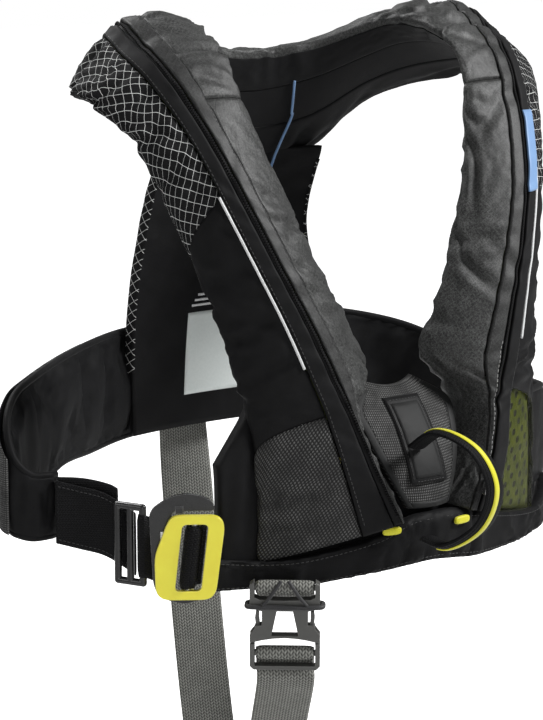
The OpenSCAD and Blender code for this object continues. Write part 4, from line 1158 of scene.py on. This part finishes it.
# Crotch strap from the back's patch to the clip: places, and yaw of its width at each, in degrees
STRAP_PLACES = [[-20, 151, 128], [-20, 151, 84], [-26, 132, 10], [-34, 108, -70], [-44, 76, -150], [-58, 30, -225],
                [-70, -15, -244], [-79, -48, -205], [-84, -68, -130], [-93, -90, -85]]
STRAP_YAWS = [0, -6, -30] + [-36] * 10


def crotch_strap():
    """Webbing from the back, under the wearer and up to the clip, where it folds round a bar."""
    ends = placed([[0, 8.5, -14], [0, 6.2, -1], [0, 5, 5]], CLIP, CLIP_YAW)
    u = np.linspace(0, 12, 190)
    path = catmull(np.vstack([STRAP_PLACES, ends]), u)
    fold = placed(fold_points(11, -10, 250), CLIP, CLIP_YAW)
    yaw = np.radians(catmull(np.array(STRAP_YAWS, float)[:, None], u)[:, 0])
    yaw = np.concatenate([yaw, np.full(len(fold), CLIP_YAW)])
    sides = np.stack([np.cos(yaw), np.sin(yaw), 0 * yaw], axis=-1)
    webbing = ribbon("crotch_strap_webbing", np.vstack([path, fold]), sides, 39, 2.3, 17)
    dress(webbing, "grey_webbing", "crotch_strap", body="crotch_webbing")


def strap_patch():
    patch = pad("strap_anchor_patch", (-20, 156.5, 112), (1, 0, 0), (0, 0, 1), (0, 1, 0), (62, 44, 2.6), 0.12)
    dress(patch, "soft_black", "strap_patch")
    corners = np.array([[-48, 93], [8, 93], [8, 131], [-48, 131]])
    runs = ((0, 1), (1, 2), (2, 3), (3, 0), (0, 2), (1, 3))
    rows = np.vstack([np.linspace(corners[i], corners[j], 30) for i, j in runs])
    line = np.insert(rows, 1, 157.9, axis=1)
    stitch("anchor_stitches", line, (0.0, 1.0, 0.0), "soft_black", 3.0, (2.0, 0.5, 0.4), "grey_thread")


def clip_webbing():
    """The clip's own webbing, and the elastic cord round its socket."""
    across = (math.cos(CLIP_YAW), math.sin(CLIP_YAW), 0)
    top = catmull([[0, 34, 40], [0, 24, 43], [0, 14, 47.5], [0, 7.5, 52]], np.linspace(0, 3, 16))
    path = placed(np.vstack([top, fold_points(56.5, -20, 250)]), CLIP, CLIP_YAW)
    webbing = ribbon("crotch_anchor_webbing", path, across, 39, 2.3, 17)
    dress(webbing, "grey_webbing", "crotch_anchor", body="crotch_front")
    turn = np.linspace(0, TAU, 80)
    x, y = (size * np.sign(f(turn)) * np.abs(f(turn)) ** 0.35 for size, f in ((25.5, np.cos), (6.5, np.sin)))
    cord = placed(np.stack([x, y, 44.3 + 0 * x], axis=-1)[:-1], CLIP, CLIP_YAW)
    dress(tube("elastic_cord", cord, 1.7, closed=True), "elastic", "crotch_cord", body="crotch_front")
    for number, (side, _) in enumerate(SIDES):
        points = [[side * 2.5, -4.5, 62], [side * 6, -6.0, 57], [side * 11, -6.4, 50], [side * 15, -6.6, 45.5]]
        tie = placed(catmull(points, np.linspace(0, 3, 24)), CLIP, CLIP_YAW)
        dress(tube(f"elastic_tie_{number}", tie, 1.25), "elastic", body="crotch_front")


hem()
centre_panel()
front_wing()
back_parts()
belt_parts()
lifting_loop()
safety_loop()
side_buckle_webbing()
clip_webbing()
crotch_strap()
strap_patch()

# ---- hard parts keep their CAD shape and get detailed materials ----

HARDWARE = {
    "black_steel": ("zip_slider", "ladder_adjuster", "buckle_plate"),
    "bright_steel": ("buckle_latch", "webbing_pin", "gas_cylinder", "firing_pin"),
    "yellow_metal": ("buckle_frame",),
    "grey_plastic": ("crotch_socket", "crotch_plug", "prong_left", "prong_right", "pull_lever"),
    "black_plastic": ("inflator_body", "oral_cap"),
    "yellow_plastic": ("pull_toggle", "whistle"),
    "black_rubber": ("oral_tube",),
    "clear_lamp": ("rescue_light",),
}


def hardware():
    """Gives each hard CAD part its material."""
    for material, nodes in HARDWARE.items():
        for node in nodes:
            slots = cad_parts[node].data.materials
            slots.clear()
            slots.append(MATERIALS[material])


hardware()

# ---- studio ----


CAMERA_AZIMUTH, CAMERA_ELEVATION = math.radians(-34), math.radians(12)
CAMERA_DISTANCE = 1.8
FLOOR_DROP = 0.055  # room for the crotch strap to hang lower when its buckle is open
LENS = 124.2
LAMPS = (("key", (1.5, -1.4, 1.9), 90, 0.6), ("fill", (-1.2, -1.8, 0.35), 7, 0.9),
         ("back", (-0.4, 1.2, 1.6), 26, 0.8), ("left", (-1.7, 0.2, 0.6), 4, 0.7))


def studio_floor():
    """Plain white floor that also looks evenly white where the lamps leave it dim."""
    floor_z = cad_box[0][2] - FLOOR_DROP
    corners = [(-8, -8, floor_z), (8, -8, floor_z), (8, 8, floor_z), (-8, 8, floor_z)]
    mesh = bpy.data.meshes.new("studio_floor")
    mesh.from_pydata(corners, [], [(0, 1, 2, 3)])
    floor = bpy.data.objects.new("studio_floor", mesh)
    bpy.context.scene.collection.objects.link(floor)
    s = Shader("studio_white")
    seen = s.add("ShaderNodeLightPath").outputs["Is Camera Ray"]
    glow = s.math("MULTIPLY", seen, 0.95)
    pale = s.mix(s.noise(3, 2), (0.66, 0.66, 0.66), (0.70, 0.70, 0.70))
    floor.data.materials.append(s.finish(pale, 0.9, Emission_Color=(1, 1, 1, 1), Emission_Strength=glow))


def surroundings():
    """Dim white light from all round, which the camera sees as a plain white backdrop."""
    world = bpy.data.worlds.new("studio")
    world.use_nodes = True
    tree = world.node_tree
    seen = tree.nodes.new("ShaderNodeLightPath")
    strength = tree.nodes.new("ShaderNodeMapRange")
    strength.inputs["To Min"].default_value = 0.18
    strength.inputs["To Max"].default_value = 1.0
    tree.links.new(seen.outputs["Is Camera Ray"], strength.inputs["Value"])
    background = tree.nodes["Background"]
    background.inputs["Color"].default_value = (1, 1, 1, 1)
    tree.links.new(strength.outputs["Result"], background.inputs["Strength"])
    bpy.context.scene.world = world


def lamps():
    aim = Vector((0, 0, 0.15))
    for name, place, power, size in LAMPS:
        light = bpy.data.lights.new(name, "AREA")
        light.energy = power
        light.size = size
        lamp = bpy.data.objects.new(name, light)
        lamp.location = place
        lamp.rotation_euler = (aim - Vector(place)).to_track_quat("-Z", "Y").to_euler()
        lamp.visible_camera = False
        bpy.context.scene.collection.objects.link(lamp)


def camera():
    c, s = math.cos(CAMERA_AZIMUTH), math.sin(CAMERA_AZIMUTH)
    flat = math.cos(CAMERA_ELEVATION)
    right = Vector((c, s, 0))
    back = Vector((s * flat, -c * flat, math.sin(CAMERA_ELEVATION)))
    target = Vector((0, 0, 0.147)) - 0.0315 * right
    view = bpy.data.objects.new("camera", bpy.data.cameras.new("camera"))
    view.data.lens = LENS
    view.data.sensor_width = 36
    view.location = target + CAMERA_DISTANCE * back
    view.rotation_euler = back.to_track_quat("Z", "Y").to_euler()
    bpy.context.scene.collection.objects.link(view)
    bpy.context.scene.camera = view


studio_floor()
surroundings()
lamps()
camera()
bpy.context.scene.view_settings.view_transform = "Standard"
